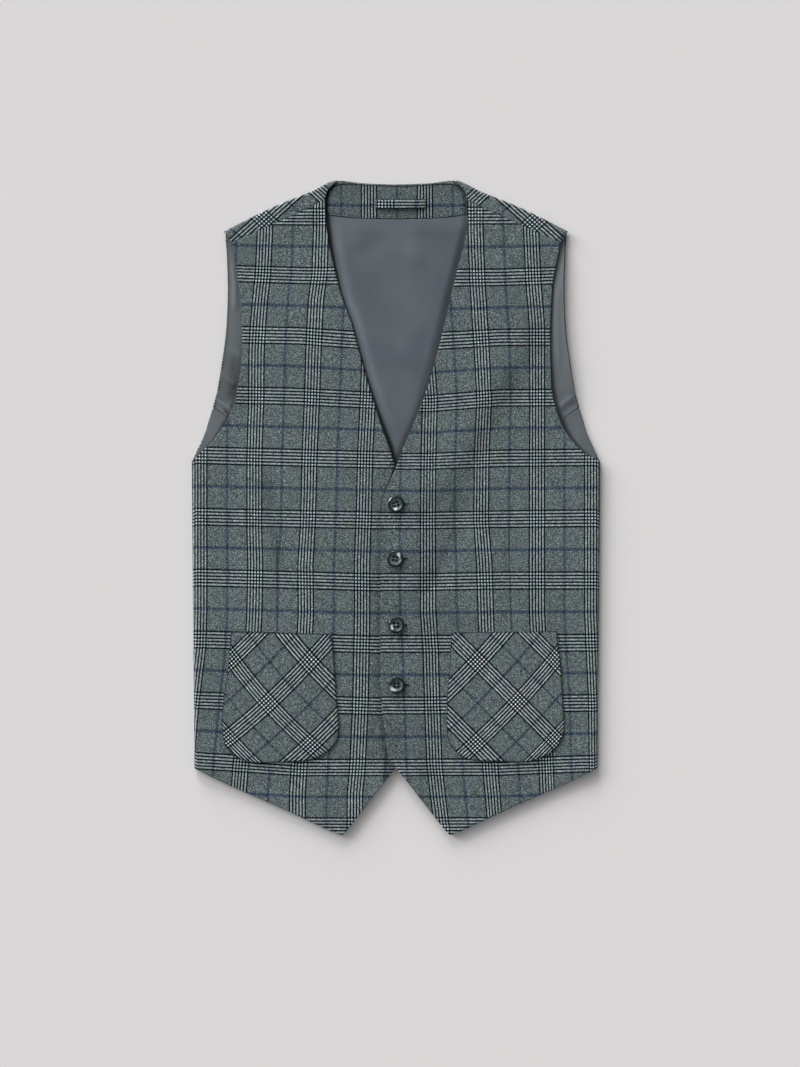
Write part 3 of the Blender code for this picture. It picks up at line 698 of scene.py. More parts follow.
def nearestOn(points, x, y):
    # distance to a polyline, and how far along it that is, from 0 to 1
    best, where = 1e9, 0.0
    for i, ((ax, ay), (bx, by)) in enumerate(zip(points, points[1:])):
        dx, dy = bx - ax, by - ay
        share = min(max(((x - ax) * dx + (y - ay) * dy) / (dx * dx + dy * dy), 0.0), 1.0)
        distance = math.hypot(x - ax - dx * share, y - ay - dy * share)
        if distance < best:
            best, where = distance, (i + share) / (len(points) - 1)
    return best, where


def creaseRelief(x, y, lines):
    relief = 0.0
    for points, width, height in lines:
        distance, where = nearestOn(points, x, y)
        if distance < 3 * width:
            fade = smoothstep(min(where, 1.0 - where) / 0.25 + 0.25)
            relief += height * fade * math.exp(-((distance / width) ** 2))
    return relief


def shoulderRadius(x):
    share = (x - shoulderFold[0][0]) / (shoulderFold[-1][0] - shoulderFold[0][0])
    return mix(cloth["neckFold"], cloth["shoulderFold"], clamped(share))


def sideX(y):
    share = (y - cloth["sideHemY"]) / (cloth["underarmY"] - cloth["sideHemY"])
    return mix(cloth["halfHem"], cloth["halfChest"], clamped(share))


def backHemY(x):
    return mix(cloth["backHemMiddle"], cloth["backHemSide"], (abs(x) / cloth["halfHem"]) ** 2)


# how far the necklines stand up off the lining: y, wearer's left, wearer's right
necklineRise = (
    (0.3388, 0.0002, 0.001), (0.3, 0.0002, 0.0018), (0.27, 0.0002, 0.0014), (0.23, 0.0002, 0.0004),
    (0.16, 0.0003, 0.001), (0.1, 0.0004, 0.0016), (0.06, 0.0002, 0.0014), (0.047, 0.0, 0.0),
)
necklineRoll = 0.011
softness = {
    "rest": 0.0003,            # the fronts' slack on the lining
    "ripple": 0.0002,
    "rippleScale": (22.0, 16.0, 3.7),     # across, along and which pattern
    "settle": 1e-8,            # keeps the slack above nothing without a crease
}


def rolledEdge(x, y):
    column = columnOf(x)
    rise = readTable(necklineRise, y, 0, column)
    if rise <= 0.0 or y < necklineRise[-1][0]:
        return 0.0
    return rise * (1.0 - smoothstep((abs(x) - readTable(frontEdge, y, 0, column)) / necklineRoll))


def pastBackHem(x, y):
    return backHemY(x) - y - cloth["tipStart"]


def ripple(x, y, scale):
    return noise.noise((x * scale[0], y * scale[1], scale[2]))


def clothHeight(x, y):
    # upper surface of the fronts where they lie side by side; x is across the garment
    out = abs(x)
    rise = softness["rest"]
    for centre, level, width, length, height in swells:
        rise += height * math.exp(-(((out - centre) / width) ** 2) - ((y - level) / length) ** 2)
    rise += softness["ripple"] * ripple(x, y, softness["rippleScale"]) + creaseRelief(x, y, creases)
    rise = 0.5 * (rise + math.sqrt(rise * rise + softness["settle"]))
    height = frontRest + rise + rolledEdge(x, y)
    atTips = cloth["hemWall"] + cloth["tipLift"] + cloth["tipRelief"] * rise
    height = mix(height, atTips, smoothstep(pastBackHem(x, y) / cloth["tipFade"]))
    fromFold = sideX(y) - cloth["sideFold"] - out
    belowUnderarm = smoothstep(1.0 - (y - cloth["underarmY"]) / cloth["sideRise"])
    atFold = smoothstep(1.0 - fromFold / cloth["sideRise"]) * belowUnderarm
    height = mix(height, 2 * cloth["sideFold"], atFold)
    belowSeam = readTable(shoulderSeam, out, 0, 1) - y
    return mix(height, 2 * shoulderRadius(out), smoothstep(1.0 - belowSeam / cloth["shoulderRise"]))


def frontSurface(side):
    def height(x, y):
        level = clothHeight(side * x, y)
        if side > 0:
            level += overlapStep * (1.0 - smoothstep((x - cloth["overlapReach"]) / cloth["overlapFade"]))
        return level
    return height


# how the check runs on each piece
# Charts of the fronts in grain units. Across: y, then x of the group of lines nearest the front edge, of the
# next two and of the one by the side fold. Along: x of the side, middle and front columns, then the rows of
# groups from the top down, with y in each of those columns.
repeatAcross, repeatAlong = 56.0, 61.3
# cloth eased out towards the front edge: how far past the first group, and how much cloth lies there
frontEase = ((30.0, 30.0), (51.5, 47.2))
acrossCharts = {
    "Left": (
        (277.5, 23.5, 79.5, 135.0, 191.0), (222.5, 25.5, 81.5, 137.6, 193.0),
        (207.5, 26.6, 82.6, 139.0, 194.5), (182.5, 28.0, 84.0, 141.0, 196.0),
        (162.5, 30.0, 85.4, 141.0, 196.0), (107.5, 34.0, 88.2, 141.0, 196.0),
        (51.5, 32.7, 85.5, 141.0, 196.0), (-12.5, 32.0, 84.8, 141.0, 196.0),
        (-57.5, 32.0, 88.2, 141.0, 196.0), (-104.5, 32.0, 89.8, 141.0, 196.0),
        (-142.5, 34.7, 91.2, 143.0, 197.5), (-192.5, 36.0, 92.0, 148.0, 199.5),
        (-257.5, 38.5, 94.0, 150.5, 199.9), (-292.5, 42.5, 97.0, 152.0, 201.0),
        (-320.0, 46.0, 99.0, 154.0, 203.0),
    ),
    "Right": (
        (277.5, 19.0, 75.0, 131.0, 187.0), (234.5, 20.4, 76.4, 133.0, 189.0),
        (207.5, 24.0, 80.0, 136.0, 192.0), (182.5, 25.3, 81.3, 138.0, 194.0),
        (157.5, 26.4, 82.4, 139.5, 195.0), (107.5, 28.2, 84.0, 139.8, 195.5),
        (51.5, 31.0, 86.5, 141.6, 196.5), (7.5, 31.8, 87.5, 141.6, 196.5),
        (-22.5, 32.8, 88.6, 141.6, 196.5), (-57.5, 34.0, 90.7, 140.7, 196.5),
        (-104.5, 33.8, 90.0, 141.7, 196.5), (-140.0, 34.4, 91.8, 143.5, 197.5),
        (-192.5, 35.3, 94.0, 148.5, 204.0), (-257.5, 38.3, 96.8, 155.5, 210.0),
        (-287.5, 41.0, 98.5, 158.0, 212.0),
    ),
}
alongCharts = {
    "Left": (186.0, 104.0, 34.0, (
        (291.9, 291.9, 291.9), (233.0, 230.0, 229.5), (170.5, 170.0, 166.0), (110.0, 109.5, 103.6),
        (50.0, 49.2, 46.2), (-10.7, -11.7, -12.9), (-73.0, -73.0, -74.5), (-135.4, -136.0, -136.4),
        (-195.4, -196.8, -197.9), (-256.4, -260.0, -260.2), (-315.0, -318.0, -318.2),
    )),
    "Right": (196.0, 96.0, 16.0, (
        (290.5, 290.5, 290.5), (235.5, 232.0, 231.5), (173.5, 171.5, 165.5), (113.5, 110.9, 106.8),
        (52.3, 49.6, 47.7), (-9.3, -11.5, -13.0), (-70.0, -72.6, -75.0), (-132.0, -134.8, -137.3),
        (-192.9, -196.4, -198.9), (-253.4, -260.5, -260.3), (-312.5, -318.2, -318.5),
    )),
}
dart = {
    "Left": ((0.1232, -0.0138), (0.1276, -0.1403)),
    "Right": ((0.1309, -0.0138), (0.1309, -0.1403)),
    "intake": 0.088,           # of a repeat
    "top": -0.012,
    "full": -0.07,
    "below": -0.16,
    "gone": -0.255,
}


def dartIntake(y):
    opening = smoothstep((dart["top"] - y) / (dart["top"] - dart["full"]))
    return dart["intake"] * opening * smoothstep((y - dart["gone"]) / (dart["below"] - dart["gone"]))


def frontGrain(hand, side, x, y):
    # place on the cloth in repeats, the dart's distance on the centre side, and what it takes in
    gx, gy = x / grainUnit, y / grainUnit
    taken = dartIntake(y)
    chart = acrossCharts[hand]
    front, inner, outer, end = (readTable(chart, gy, 0, column) for column in (1, 2, 3, 4))
    columns = [(end, 0.0), (outer, 1.0), (inner, 2.0 - taken), (front, 3.0 - taken)]
    columns += [(front - place, 3.0 - taken + cut / repeatAcross) for place, cut in frontEase]
    across = readTable(columns, gx, 0, 1, beyond=-1.0 / repeatAcross)
    sideColumn, middleColumn, frontColumn, groups = alongCharts[hand]
    levels = []
    for number, row in enumerate(groups):
        knots = ((sideColumn, row[0]), (middleColumn, row[1]), (frontColumn, row[2]))
        levels.append((readTable(knots, gx, 0, 1), -float(number)))
    along = readTable(levels, gy, 0, 1, beyond=1.0 / repeatAlong)
    (topX, topY), (lowX, lowY) = dart[hand]
    pastDart = mix(topX, lowX, (y - topY) / (lowY - topY)) - x
    return -side * across, along, pastDart, -side * taken


def affineGrain(centre, acrossStep, alongStep, x, y):
    # a straight grain: where a crossing of groups lies, and the steps to the next ones
    dx, dy = x - centre[0], y - centre[1]
    turn = acrossStep[0] * alongStep[1] - acrossStep[1] * alongStep[0]
    return (dx * alongStep[1] - dy * alongStep[0]) / turn, (acrossStep[0] * dy - acrossStep[1] * dx) / turn


pocketGrains = {  # crossing, step across and along, and how each of the two bends, in grain units
    "Left": ((121.6, -194.3), (39.8, 42.15), (38.55, -38.7), (-2.5, 0.15), (-1.65, 1.5)),
    "Right": ((-127.7, -195.7), (40.45, 37.8), (39.15, -42.95), (0.55, 3.5), (2.85, 1.45)),
}


def pocketGrain(hand, x, y):
    # garment x and y to the pocket's own bias grain, solved by a few corrections
    centre, acrossStep, alongStep, acrossBend, alongBend = pocketGrains[hand]
    gx, gy = x / grainUnit, y / grainUnit
    u, v = affineGrain(centre, acrossStep, alongStep, gx, gy)
    for _ in range(4):
        bentX = gx - acrossBend[0] * u * u - alongBend[0] * v * v
        bentY = gy - acrossBend[1] * u * u - alongBend[1] * v * v
        u, v = affineGrain(centre, acrossStep, alongStep, bentX, bentY)
    return u, v


shoulderGrains = {  # crossing on the shoulder band in metres, on its own side
    "Left": (0.1525, 0.3139),
    "Right": (0.1452, 0.3171),
}
shoulderSteps = ((-0.0474, 0.0427), (0.05, 0.045))    # along the band to the next group, and over it


def shoulderGrain(hand, side, x, y):
    u, v = affineGrain(shoulderGrains[hand], shoulderSteps[0], shoulderSteps[1], x, y)
    return -side * u, v


backGrain = {"middle": (0.0344, 0.33), "repeat": (0.0616, 0.0674)}


def straightGrain(middle, x, y):
    return (x - middle[0]) / backGrain["repeat"][0], (y - middle[1]) / backGrain["repeat"][1]


# making a sheet
def point3(p, height):
    return Vector((p.x, p.y, height(p.x, p.y)))


def lifted(row, height):
    return [point3(p, height) for p in row]


def level(height):
    return lambda x, y: height


def sidedRows(rows, side):
    # rows drawn on their own side, where they lie on the garment
    return [[Vector((side * p.x, p.y, p.z)) for p in row] for row in rows]


def flatGrain(rows):
    return [[(p.x, p.y) for p in row] for row in rows]


def sewSheet(name, blocks, wall, material, turnedOver=False, edgeRound=0.0004, marks=None, wallShare=None):
    # each block is rows of points, the grain at each, and whether its faces are wound the other way;
    # marks gives the painted shade and painted light at a point, and wallShare how much of the wall's
    # thickness it has
    sheet = bmesh.new()
    grainLayer = sheet.loops.layers.uv.new("grain")
    sideLayer = sheet.verts.layers.float.new("dartSide")
    shiftLayer = sheet.verts.layers.float.new("dartShift")
    markNames = ("fromEdge", "edgeWidth", "paintedEdgeShade", "paintedLightShade")
    markLayers = [sheet.verts.layers.float.new(mark) for mark in markNames]
    shares = sheet.verts.layers.deform.verify()
    for rows, grains, flipped in blocks:
        grid = []
        for row, grainRow in zip(rows, grains):
            line = []
            for p, grain in zip(row, grainRow):
                vert = sheet.verts.new(p)
                if len(grain) > 2:
                    vert[sideLayer], vert[shiftLayer] = grain[2], grain[3]
                if marks:
                    for layer, value in zip(markLayers, marks(p.x, p.y)):
                        vert[layer] = value
                if wallShare:
                    vert[shares][0] = wallShare(p.x, p.y)
                line.append(vert)
            grid.append(line)
        for r in range(len(grid) - 1):
            for c in range(len(grid[r]) - 1):
                places = [(r, c), (r, c + 1), (r + 1, c + 1), (r + 1, c)]
                if flipped != turnedOver:
                    places.reverse()
                face = sheet.faces.new([grid[a][b] for a, b in places])
                for loop, (a, b) in zip(face.loops, places):
                    loop[grainLayer].uv = grains[a][b][:2]
    bmesh.ops.remove_doubles(sheet, verts=sheet.verts, dist=mergeDistance)
    mesh = meshFrom(sheet, name)
    mesh.materials.append(material)
    mesh.shade_smooth()
    piece = placeObject(name, mesh)
    thickness = piece.modifiers.new("wall", "SOLIDIFY")
    thickness.thickness = wall
    thickness.offset = -1.0
    thickness.use_even_offset = True
    if wallShare:
        thickness.vertex_group = piece.vertex_groups.new(name="wallShare").name
    rounding = piece.modifiers.new("softEdge", "BEVEL")
    rounding.width = edgeRound
    rounding.segments = 2
    rounding.limit_method = "ANGLE"
    rounding.angle_limit = math.radians(50)
    return piece


def declareCloth(piece, node, area, restsOn):
    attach(piece, "root")
    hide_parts(node)
    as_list(restsOn)


def sideSeamLines(fine):
    lower = smoothThrough(sideSeamBelow, fine["body"])
    upper = smoothThrough(sideSeamAbove, fine["turnRows"])
    return lower, upper


faces = {
    "body": facesAlong(0.337),
    "chest": facesAlong(0.29),
    "turnRows": facesAlong(0.063),
    "turnColumns": 10,
    "fold": 10,
    "toTip": facesAlong(0.109),
    "toSide": facesAlong(0.176),
    "backArmhole": facesAlong(0.191),
    "neck": facesAlong(0.068),
    "shoulder": facesAlong(0.135),
    "wrap": 8,
}


# fronts
# painted shade on the under front beside the edge of the upper one, from the point of the V down: y, dark,
# width
lapShade = (
    (0.044, 0.85, 0.004), (0.03, 0.8, 0.0032), (0.015, 0.42, 0.004), (-0.02, 0.28, 0.007),
    (-0.2, 0.28, 0.009), (-0.2749, 0.4, 0.008),
)
# and painted shade on that front's own neckline
neckEdgePaintedShade, neckEdgeWidth = 0.6, 0.0018

# painted soft shade in the fronts' creases and hollows: the line, its width, share
frontPaintedLines = (
    (((0.16, 0.21), (0.1452, 0.1733), (0.1199, 0.1183)), 0.013, -0.16),
    (((0.135, 0.15), (0.1199, 0.1183), (0.0902, 0.0578), (0.0649, 0.0083), (0.0374, -0.0248)), 0.013, -0.24),
    (((0.056, 0.0), (0.0374, -0.0248), (0.0176, -0.0446), (0.0, -0.056)), 0.009, -0.14),
    (((0.068, -0.04), (0.0374, -0.0798), (0.0176, -0.1018), (-0.006, -0.115)), 0.01, -0.15),
    (((-0.14, 0.035), (-0.1386, 0.0138), (-0.1309, -0.0413), (-0.132, -0.07)), 0.01, -0.15),
    (((-0.008, 0.044), (-0.018, -0.0138), (-0.021, -0.12), (-0.02, -0.2), (-0.015, -0.29)), 0.011, -0.13),
    (((-0.176, 0.15), (-0.17, 0.125), (-0.172, 0.1)), 0.011, -0.16),
    (((0.0, -0.09), (0.0, -0.15), (0.0, -0.28)), 0.01, -0.08),
)
# painted light and shade in soft places on the fronts: x, y, reach across and along, share
frontPaintedSpots = (
    (-0.009, -0.256, 0.024, 0.022, -0.18), (-0.0726, -0.3163, 0.015, 0.015, -0.1),
    (0.12, -0.26, 0.06, 0.07, -0.07), (0.06, -0.125, 0.03, 0.03, -0.08),
    (0.045, -0.29, 0.02, 0.035, -0.06), (-0.19, -0.09, 0.04, 0.04, 0.09),
    (-0.11, 0.08, 0.03, 0.05, 0.07), (0.15, -0.01, 0.025, 0.04, 0.06),
    (0.068, 0.008, 0.018, 0.015, -0.12), (0.135, -0.15, 0.08, 0.16, -0.05),
    (0.13, 0.24, 0.03, 0.05, -0.05), (-0.09, 0.22, 0.016, 0.05, 0.05),
    (-0.045, -0.245, 0.02, 0.03, -0.06),
)


# painted light and shade: soft lines and spots made lighter and darker
def paintedSoftShade(x, y, lines, places):
    shade = creaseRelief(x, y, lines)
    for centre, middle, across, along, share in places:
        shade += share * math.exp(-((x - centre) / across) ** 2 - ((y - middle) / along) ** 2)
    return shade


# painted shade beside the neckline and beside the upper front's edge, with the fronts' painted soft shade
def underFrontPaintedShade(x, y):
    shade = paintedSoftShade(x, y, frontPaintedLines, frontPaintedSpots)
    if y > cloth["underarmY"]:
        return -readTable(frontEdge, y, 0, 2) - x, neckEdgeWidth, neckEdgePaintedShade, shade
    dark, width = (readTable(lapShade, y, 0, column) for column in (1, 2))
    return readTable(frontEdge, y, 0, 1) - x, width, dark, shade


# only the fronts' painted soft shade
def overFrontPaintedShade(x, y):
    return 1.0, 0.0, 0.0, paintedSoftShade(x, y, frontPaintedLines, frontPaintedSpots)


def frontPiece(hand, side):
    surface = frontSurface(side)
    columns = faces["toTip"] + faces["toSide"]
    edge = onSide(frontEdge, side)
    underarmY = cloth["underarmY"]
    edgeStart = (readTable(edge, underarmY, 1, 0), underarmY)
    above = [row for row in edge if row[1] > underarmY]
    below = [row for row in edge if row[1] < underarmY]
    seamLower, seamUpper = sideSeamLines(faces)
    hem = smoothThrough(hemToTip, faces["toTip"]) + smoothThrough(hemToSide, faces["toSide"])[1:]
    armhole = smoothThrough(onSide(frontArmhole, side), faces["chest"])
    underarm = straight(edgeStart, armhole[0], columns)
    frontLine = smoothThrough([edgeStart, *below], faces["body"])[::-1]
    upperLine = straight(hem[-1], armhole[0], faces["body"])
    underLine = straight(underHemEnd, turnArmhole[0], faces["body"])
    radius = cloth["sideFold"]

    def grainRow(points, foldStart):
        # past the fold the grain goes on by the length of the cloth
        grains = []
        length = 0.0
        for i, p in enumerate(points):
            if i <= foldStart:
                grain = frontGrain(hand, side, p.x, p.y)
            else:
                length += (points[i] - points[i - 1]).length
                across, along, pastDart, taken = grains[foldStart]
                grain = (across + side * length / (repeatAcross * grainUnit), along, pastDart - length, taken)
            grains.append(grain)
        return grains

    body, bodyGrain = [], []
    for r, row in enumerate(blendPatch(hem, underarm, frontLine, upperLine)):
        points = lifted(row, surface)
        outermostY = mix(cloth["sideHemY"], underarmY, r / faces["body"])
        for step in range(1, faces["fold"] + 1):
            angle = math.pi / 2 - math.pi * step / faces["fold"]
            nearest = upperLine[r] if angle > 0.0 else underLine[r]
            x = nearest.x + radius * math.cos(angle)
            y = mix(nearest.y, outermostY, math.cos(angle))
            points.append(Vector((x, y, radius * (1.0 + math.sin(angle)))))
        turn = straight(underLine[r], seamLower[r], faces["turnColumns"])[1:]
        points += lifted(turn, level(0.0))
        body.append(points)
        bodyGrain.append(grainRow(points, columns))

    neckline = smoothThrough([*above, edgeStart], faces["chest"])[::-1]
    shoulder = smoothThrough([neckline[-1], *shoulderSeam[1:]], columns)
    chest = [lifted(row, surface) for row in blendPatch(underarm, shoulder, neckline, armhole)]
    chestGrain = [[frontGrain(hand, side, p.x, p.y) for p in row] for row in chest]

    turnEdge = smoothThrough(turnArmhole, faces["turnRows"])
    turnTop = straight(turnEdge[-1], seamUpper[-1], faces["turnColumns"])
    turnBottom = straight(underLine[-1], seamUpper[0], faces["turnColumns"])
    turn = [lifted(row, level(0.0)) for row in blendPatch(turnBottom, turnTop, turnEdge, seamUpper)]
    corner = bodyGrain[-1][columns + faces["fold"]]
    turnGrain = []
    for row in turn:
        grains = []
        for p in row:
            across = corner[0] + side * (underLine[-1].x - p.x) / (repeatAcross * grainUnit)
            grains.append((across, corner[1] + (p.y - underLine[-1].y) / (repeatAlong * grainUnit)))
        turnGrain.append(grains)

    blocks = []
    for rows, grains in ((body, bodyGrain), (chest, chestGrain), (turn, turnGrain)):
        blocks.append((sidedRows(rows, side), grains, False))

    def wallShare(x, y):
        # the fronts' points have a turned-up hem
        fromHem = y - readTable(hemToTip + hemToSide, side * x, 0, 1)
        turned = smoothstep(pastBackHem(x, y) / cloth["hemFade"])
        turned *= smoothstep(1.0 - fromHem / cloth["hemTurn"])
        return mix(cloth["wall"] / cloth["hemWall"], 1.0, turned)

    marks = underFrontPaintedShade if side < 0 else overFrontPaintedShade
    return sewSheet(f"frontCloth{hand}", blocks, cloth["hemWall"], check, turnedOver=side < 0, marks=marks,
                    wallShare=wallShare)


for hand, side in wearersSides:
    front = frontPiece(hand, side)
    declareCloth(front, f"front_{hand.lower()}", 0.139, ["back_lining"])
print("fronts laid out")


# back, its lining and the linings of the sides
def backOuterLine(inset, fine):
    lower, upper = sideSeamLines(fine)
    armhole = movedAside(smoothThrough(backArmhole, fine["backArmhole"]), inset)
    seam = [p for p in movedAside(lower + upper[1:], cloth["gap"]) if p.x < armhole[0].x]
    return seam + armhole


# how far the back's armhole edges stand up off the floor: y, wearer's left, wearer's right
armholeRise = (
    (0.112, 0.0, 0.0), (0.13, 0.002, 0.0004), (0.16, 0.0034, 0.0006), (0.26, 0.0034, 0.0006),
    (0.285, 0.0014, 0.0), (0.295, 0.0, 0.0),
)
armholeCup = 1.4


def armholeLift(x, y):
    column = columnOf(x)
    start, end = readTable(frontArmhole, y, 0, column) + 0.001, readTable(backArmhole, y, 1, 0)
    share = clamped((abs(x) - start) / (end - start))
    return readTable(armholeRise, y, 0, column) * share**armholeCup


def foldLine():
    line = smoothThrough(shoulderFold, faces["shoulder"])
    found = []
    for point, along in zip(line, directions(line)):
        lean = cloth["neckLean"] * max(1.0 - (point - line[0]).length / cloth["neckLeanFade"], 0.0)
        out = Vector((-along.y, along.x)) + along * (2 * lean)
        found.append((point, out.normalized(), shoulderRadius(point.x)))
    return found


def backHalf(hand, side):
    fold = foldLine()
    base = [point - out * radius for point, out, radius in fold]
    outer = backOuterLine(0.0, faces)
    outer[-1] = base[-1]
    neck = smoothThrough(backNeck, faces["neck"])
    top = neck + base
    columns = len(top) - 1
    bottom = [Vector((outer[0].x * c / columns, backHemY(outer[0].x * c / columns))) for c in range(columns)]
    bottom.append(outer[0])
    centre = straight(bottom[0], neck[0], len(outer) - 1)
    patch = blendPatch(bottom, top, centre, outer)
    body = [lifted(row, lambda x, y: armholeLift(side * x, y)) for row in patch]
    bodyGrain = [[straightGrain(backGrain["middle"], side * p.x, p.y) for p in row] for row in body]

    rows = []
    for step in range(faces["fold"] + 1):
        angle = math.pi * step / faces["fold"] - math.pi / 2
        row = []
        for (point, out, radius), start in zip(fold, base):
            place = start + out * radius * math.cos(angle)
            row.append(Vector((place.x, place.y, radius * (1.0 + math.sin(angle)))))
        rows.append(row)
    seamLine = smoothThrough([shoulderNeckEdge[-1], *shoulderSeam[1:]], faces["shoulder"])
    seam = movedAside(seamLine, cloth["gap"])
    neckEdge = smoothThrough([base[0], *shoulderNeckEdge], faces["wrap"])
    neckEdge[-1] = seam[0]
    armEdge = straight(base[-1], seam[-1], faces["wrap"])
    wrap = blendPatch(base, seam, neckEdge, armEdge)
    rows += [lifted(row, lambda x, y: 2 * shoulderRadius(x)) for row in wrap[1:]]
    wrapGrain = [[shoulderGrain(hand, side, p.x, p.y) for p in row] for row in rows]
    blocks = []
    for block, grains in ((body, bodyGrain), (rows, wrapGrain)):
        blocks.append((sidedRows(block, side), grains, side > 0))
    return blocks


backCloth = sewSheet("backCloth", backHalf("Left", 1) + backHalf("Right", -1), cloth["wall"], check)
declareCloth(backCloth, "back", 0.235, ["floor"])


# how the lining lies slack inside the neckline: y, height of its swell
liningSwell = ((0.318, 0.0), (0.304, 0.0012), (0.27, 0.0021), (0.23, 0.0024), (0.18, 0.002), (0.12, 0.0011),
               (0.085, 0.0004), (0.06, 0.0))
liningSlack = {
    "leftRise": 0.018,
    "rightFall": 0.01,
    "ripple": 0.0002,
    "rippleScale": (60.0, 40.0, 1.3),
    "lumpsFrom": 0.001,        # swell that shows the lumps in full
    "creaseFade": 0.004,
}
# soft lumps in it: x, y, reach, height
liningLumps = ((-0.045, 0.293, 0.01, 0.0006), (0.022, 0.279, 0.012, 0.0005), (-0.012, 0.215, 0.016, 0.0003),
               (0.02, 0.17, 0.014, 0.0003))
# pull lines and hollows in the armholes, given as the fronts' creases are
liningCreases = (
    (((-0.2, 0.129), (-0.19, 0.12), (-0.179, 0.108)), 0.0032, 0.0012),
    (((-0.196, 0.15), (-0.185, 0.139), (-0.176, 0.133)), 0.003, 0.0009),
    (((-0.179, 0.27), (-0.1765, 0.245), (-0.1775, 0.215)), 0.0035, 0.0009),
    (((0.196, 0.122), (0.186, 0.115), (0.18, 0.109)), 0.0035, 0.001),
    (((0.178, 0.25), (0.1765, 0.2), (0.18, 0.15)), 0.004, 0.0008),
)


def neckEdges(y):
    return -readTable(frontEdge, y, 0, 2), readTable(frontEdge, y, 0, 1)


def pastArmhole(x, y):
    return abs(x) - readTable(frontArmhole, y, 0, columnOf(x))


def liningRelief(x, y):
    leftEdge, rightEdge = neckEdges(y)
    if leftEdge < x < rightEdge:
        inside = smoothstep((x - leftEdge) / liningSlack["leftRise"])
        inside *= smoothstep((rightEdge - x) / liningSlack["rightFall"])
        relief = readTable(liningSwell, y, 0, 1)
        lumps = liningSlack["ripple"] * ripple(x, y, liningSlack["rippleScale"])
        for centre, middle, reach, height in liningLumps:
            lumps += height * math.exp(-((x - centre) ** 2 + (y - middle) ** 2) / reach**2)
        return max(relief + lumps * min(relief / liningSlack["lumpsFrom"], 1.0), 0.0) * inside
    fromFront = pastArmhole(x, y)
    if fromFront < 0.0 or y < frontArmhole[0][0]:
        return 0.0
    return creaseRelief(x, y, liningCreases) * smoothstep(fromFront / liningSlack["creaseFade"])


# painted shade beside the necklines, with a painted highlight band past it: y, then dark, width and painted
# glow at the edge on -X, and dark and width at the other
neckShade = (
    (0.048, 0.95, 0.007, 0.0, 0.6, 0.006), (0.074, 0.97, 0.0072, 0.06, 0.55, 0.01),
    (0.1, 0.92, 0.005, 0.22, 0.45, 0.008), (0.14, 0.88, 0.0026, 0.5, 0.4, 0.005),
    (0.228, 0.9, 0.0013, 0.62, 0.25, 0.008), (0.27, 0.92, 0.0036, 0.42, 0.35, 0.009),
    (0.305, 0.97, 0.0068, 0.22, 0.42, 0.009), (0.33, 0.97, 0.0062, 0.12, 0.3, 0.007),
)
paintedGlowReach = 0.009
neckHalf = 0.12               # nearer the centre line than this it is in the neckline
# painted shade beside the armhole edges of the fronts, on the wearer's left and right: y, dark, width
armShade = {
    1: (
        (0.0528, 0.5, 0.004), (0.09, 0.75, 0.0085), (0.12, 0.72, 0.0075), (0.16, 0.6, 0.004),
        (0.26, 0.6, 0.003), (0.285, 0.25, 0.002), (0.3, 0.1, 0.002),
    ),
    -1: (
        (0.0528, 0.2, 0.002), (0.093, 0.7, 0.006), (0.104, 0.2, 0.003), (0.125, 0.5, 0.01),
        (0.15, 0.35, 0.006), (0.19, 0.18, 0.003), (0.3, 0.1, 0.002),
    ),
}
# painted light and shade in soft lighter and darker places in the linings: x, y, reach across and along,
# share
liningPaintedSpots = (
    (-0.04, 0.302, 0.022, 0.011, -0.14), (-0.03, 0.286, 0.014, 0.01, -0.08),
    (0.0, 0.2, 0.03, 0.06, 0.08), (0.04, 0.303, 0.022, 0.01, -0.1),
    (0.012, 0.286, 0.014, 0.012, 0.06), (0.005, 0.245, 0.012, 0.03, 0.04),
    (-0.03, 0.24, 0.01, 0.025, -0.05), (0.03, 0.25, 0.01, 0.04, -0.04),
    (-0.18, 0.245, 0.008, 0.05, 0.34), (-0.185, 0.185, 0.008, 0.03, 0.16),
    (-0.204, 0.088, 0.011, 0.022, 0.24), (0.178, 0.22, 0.008, 0.075, 0.08),
    (0.1745, 0.22, 0.0045, 0.085, 0.08), (-0.188, 0.15, 0.008, 0.02, 0.06),
    (0.198, 0.08, 0.01, 0.018, 0.14), (0.186, 0.15, 0.006, 0.03, 0.08),
)
# and painted highlights and painted shade along lines: the line, its width, share
liningPaintedLines = (
    (((-0.201, 0.121), (-0.1876, 0.1132), (-0.175, 0.1045)), 0.0019, 0.62),
    (((-0.1975, 0.1128), (-0.1905, 0.1062), (-0.1845, 0.0998)), 0.001, 0.45),
    (((-0.19, 0.1078), (-0.1858, 0.104), (-0.1835, 0.0985)), 0.0024, -0.75),
    (((-0.178, 0.17), (-0.1785, 0.15), (-0.18, 0.135), (-0.186, 0.115)), 0.0062, -0.42),
    (((-0.188, 0.1765), (-0.18, 0.174), (-0.172, 0.1685)), 0.002, 0.22),
    (((0.199, 0.112), (0.193, 0.1075), (0.186, 0.101)), 0.0018, 0.28),
)


# painted shade beside the fronts' edges, a painted highlight band beside the neckline on -X, and painted
# light and shade in soft places
def liningPaintedShade(x, y):
    paintedLightShade = paintedSoftShade(x, y, liningPaintedLines, liningPaintedSpots)
    leftEdge, rightEdge = neckEdges(y)
    if abs(x) < neckHalf:
        dark, width, paintedGlow, rightDark, rightWidth = (readTable(neckShade, y, 0, i) for i in range(1, 6))
        fromLeft, fromRight = x - leftEdge, rightEdge - x
        paintedLightShade += paintedGlow * smoothstep(1.0 - abs(fromLeft - width - 0.4 * paintedGlowReach) / paintedGlowReach)
        if fromRight < fromLeft:
            return fromRight, rightWidth, rightDark, paintedLightShade
        return fromLeft, width, dark, paintedLightShade
    shade = armShade[1 if x > 0.0 else -1]
    return pastArmhole(x, y), readTable(shade, y, 0, 2), readTable(shade, y, 0, 1), paintedLightShade


# its mesh is fine where it shows, in the neckline and the armholes, and coarse under the fronts
liningFaces = {
    "body": facesAlong(0.16),
    "turnRows": 42,
    "backArmhole": 132,
    "neck": 42,
    "hidden": 16,
    "strip": 32,
    "sideColumns": 20,
}


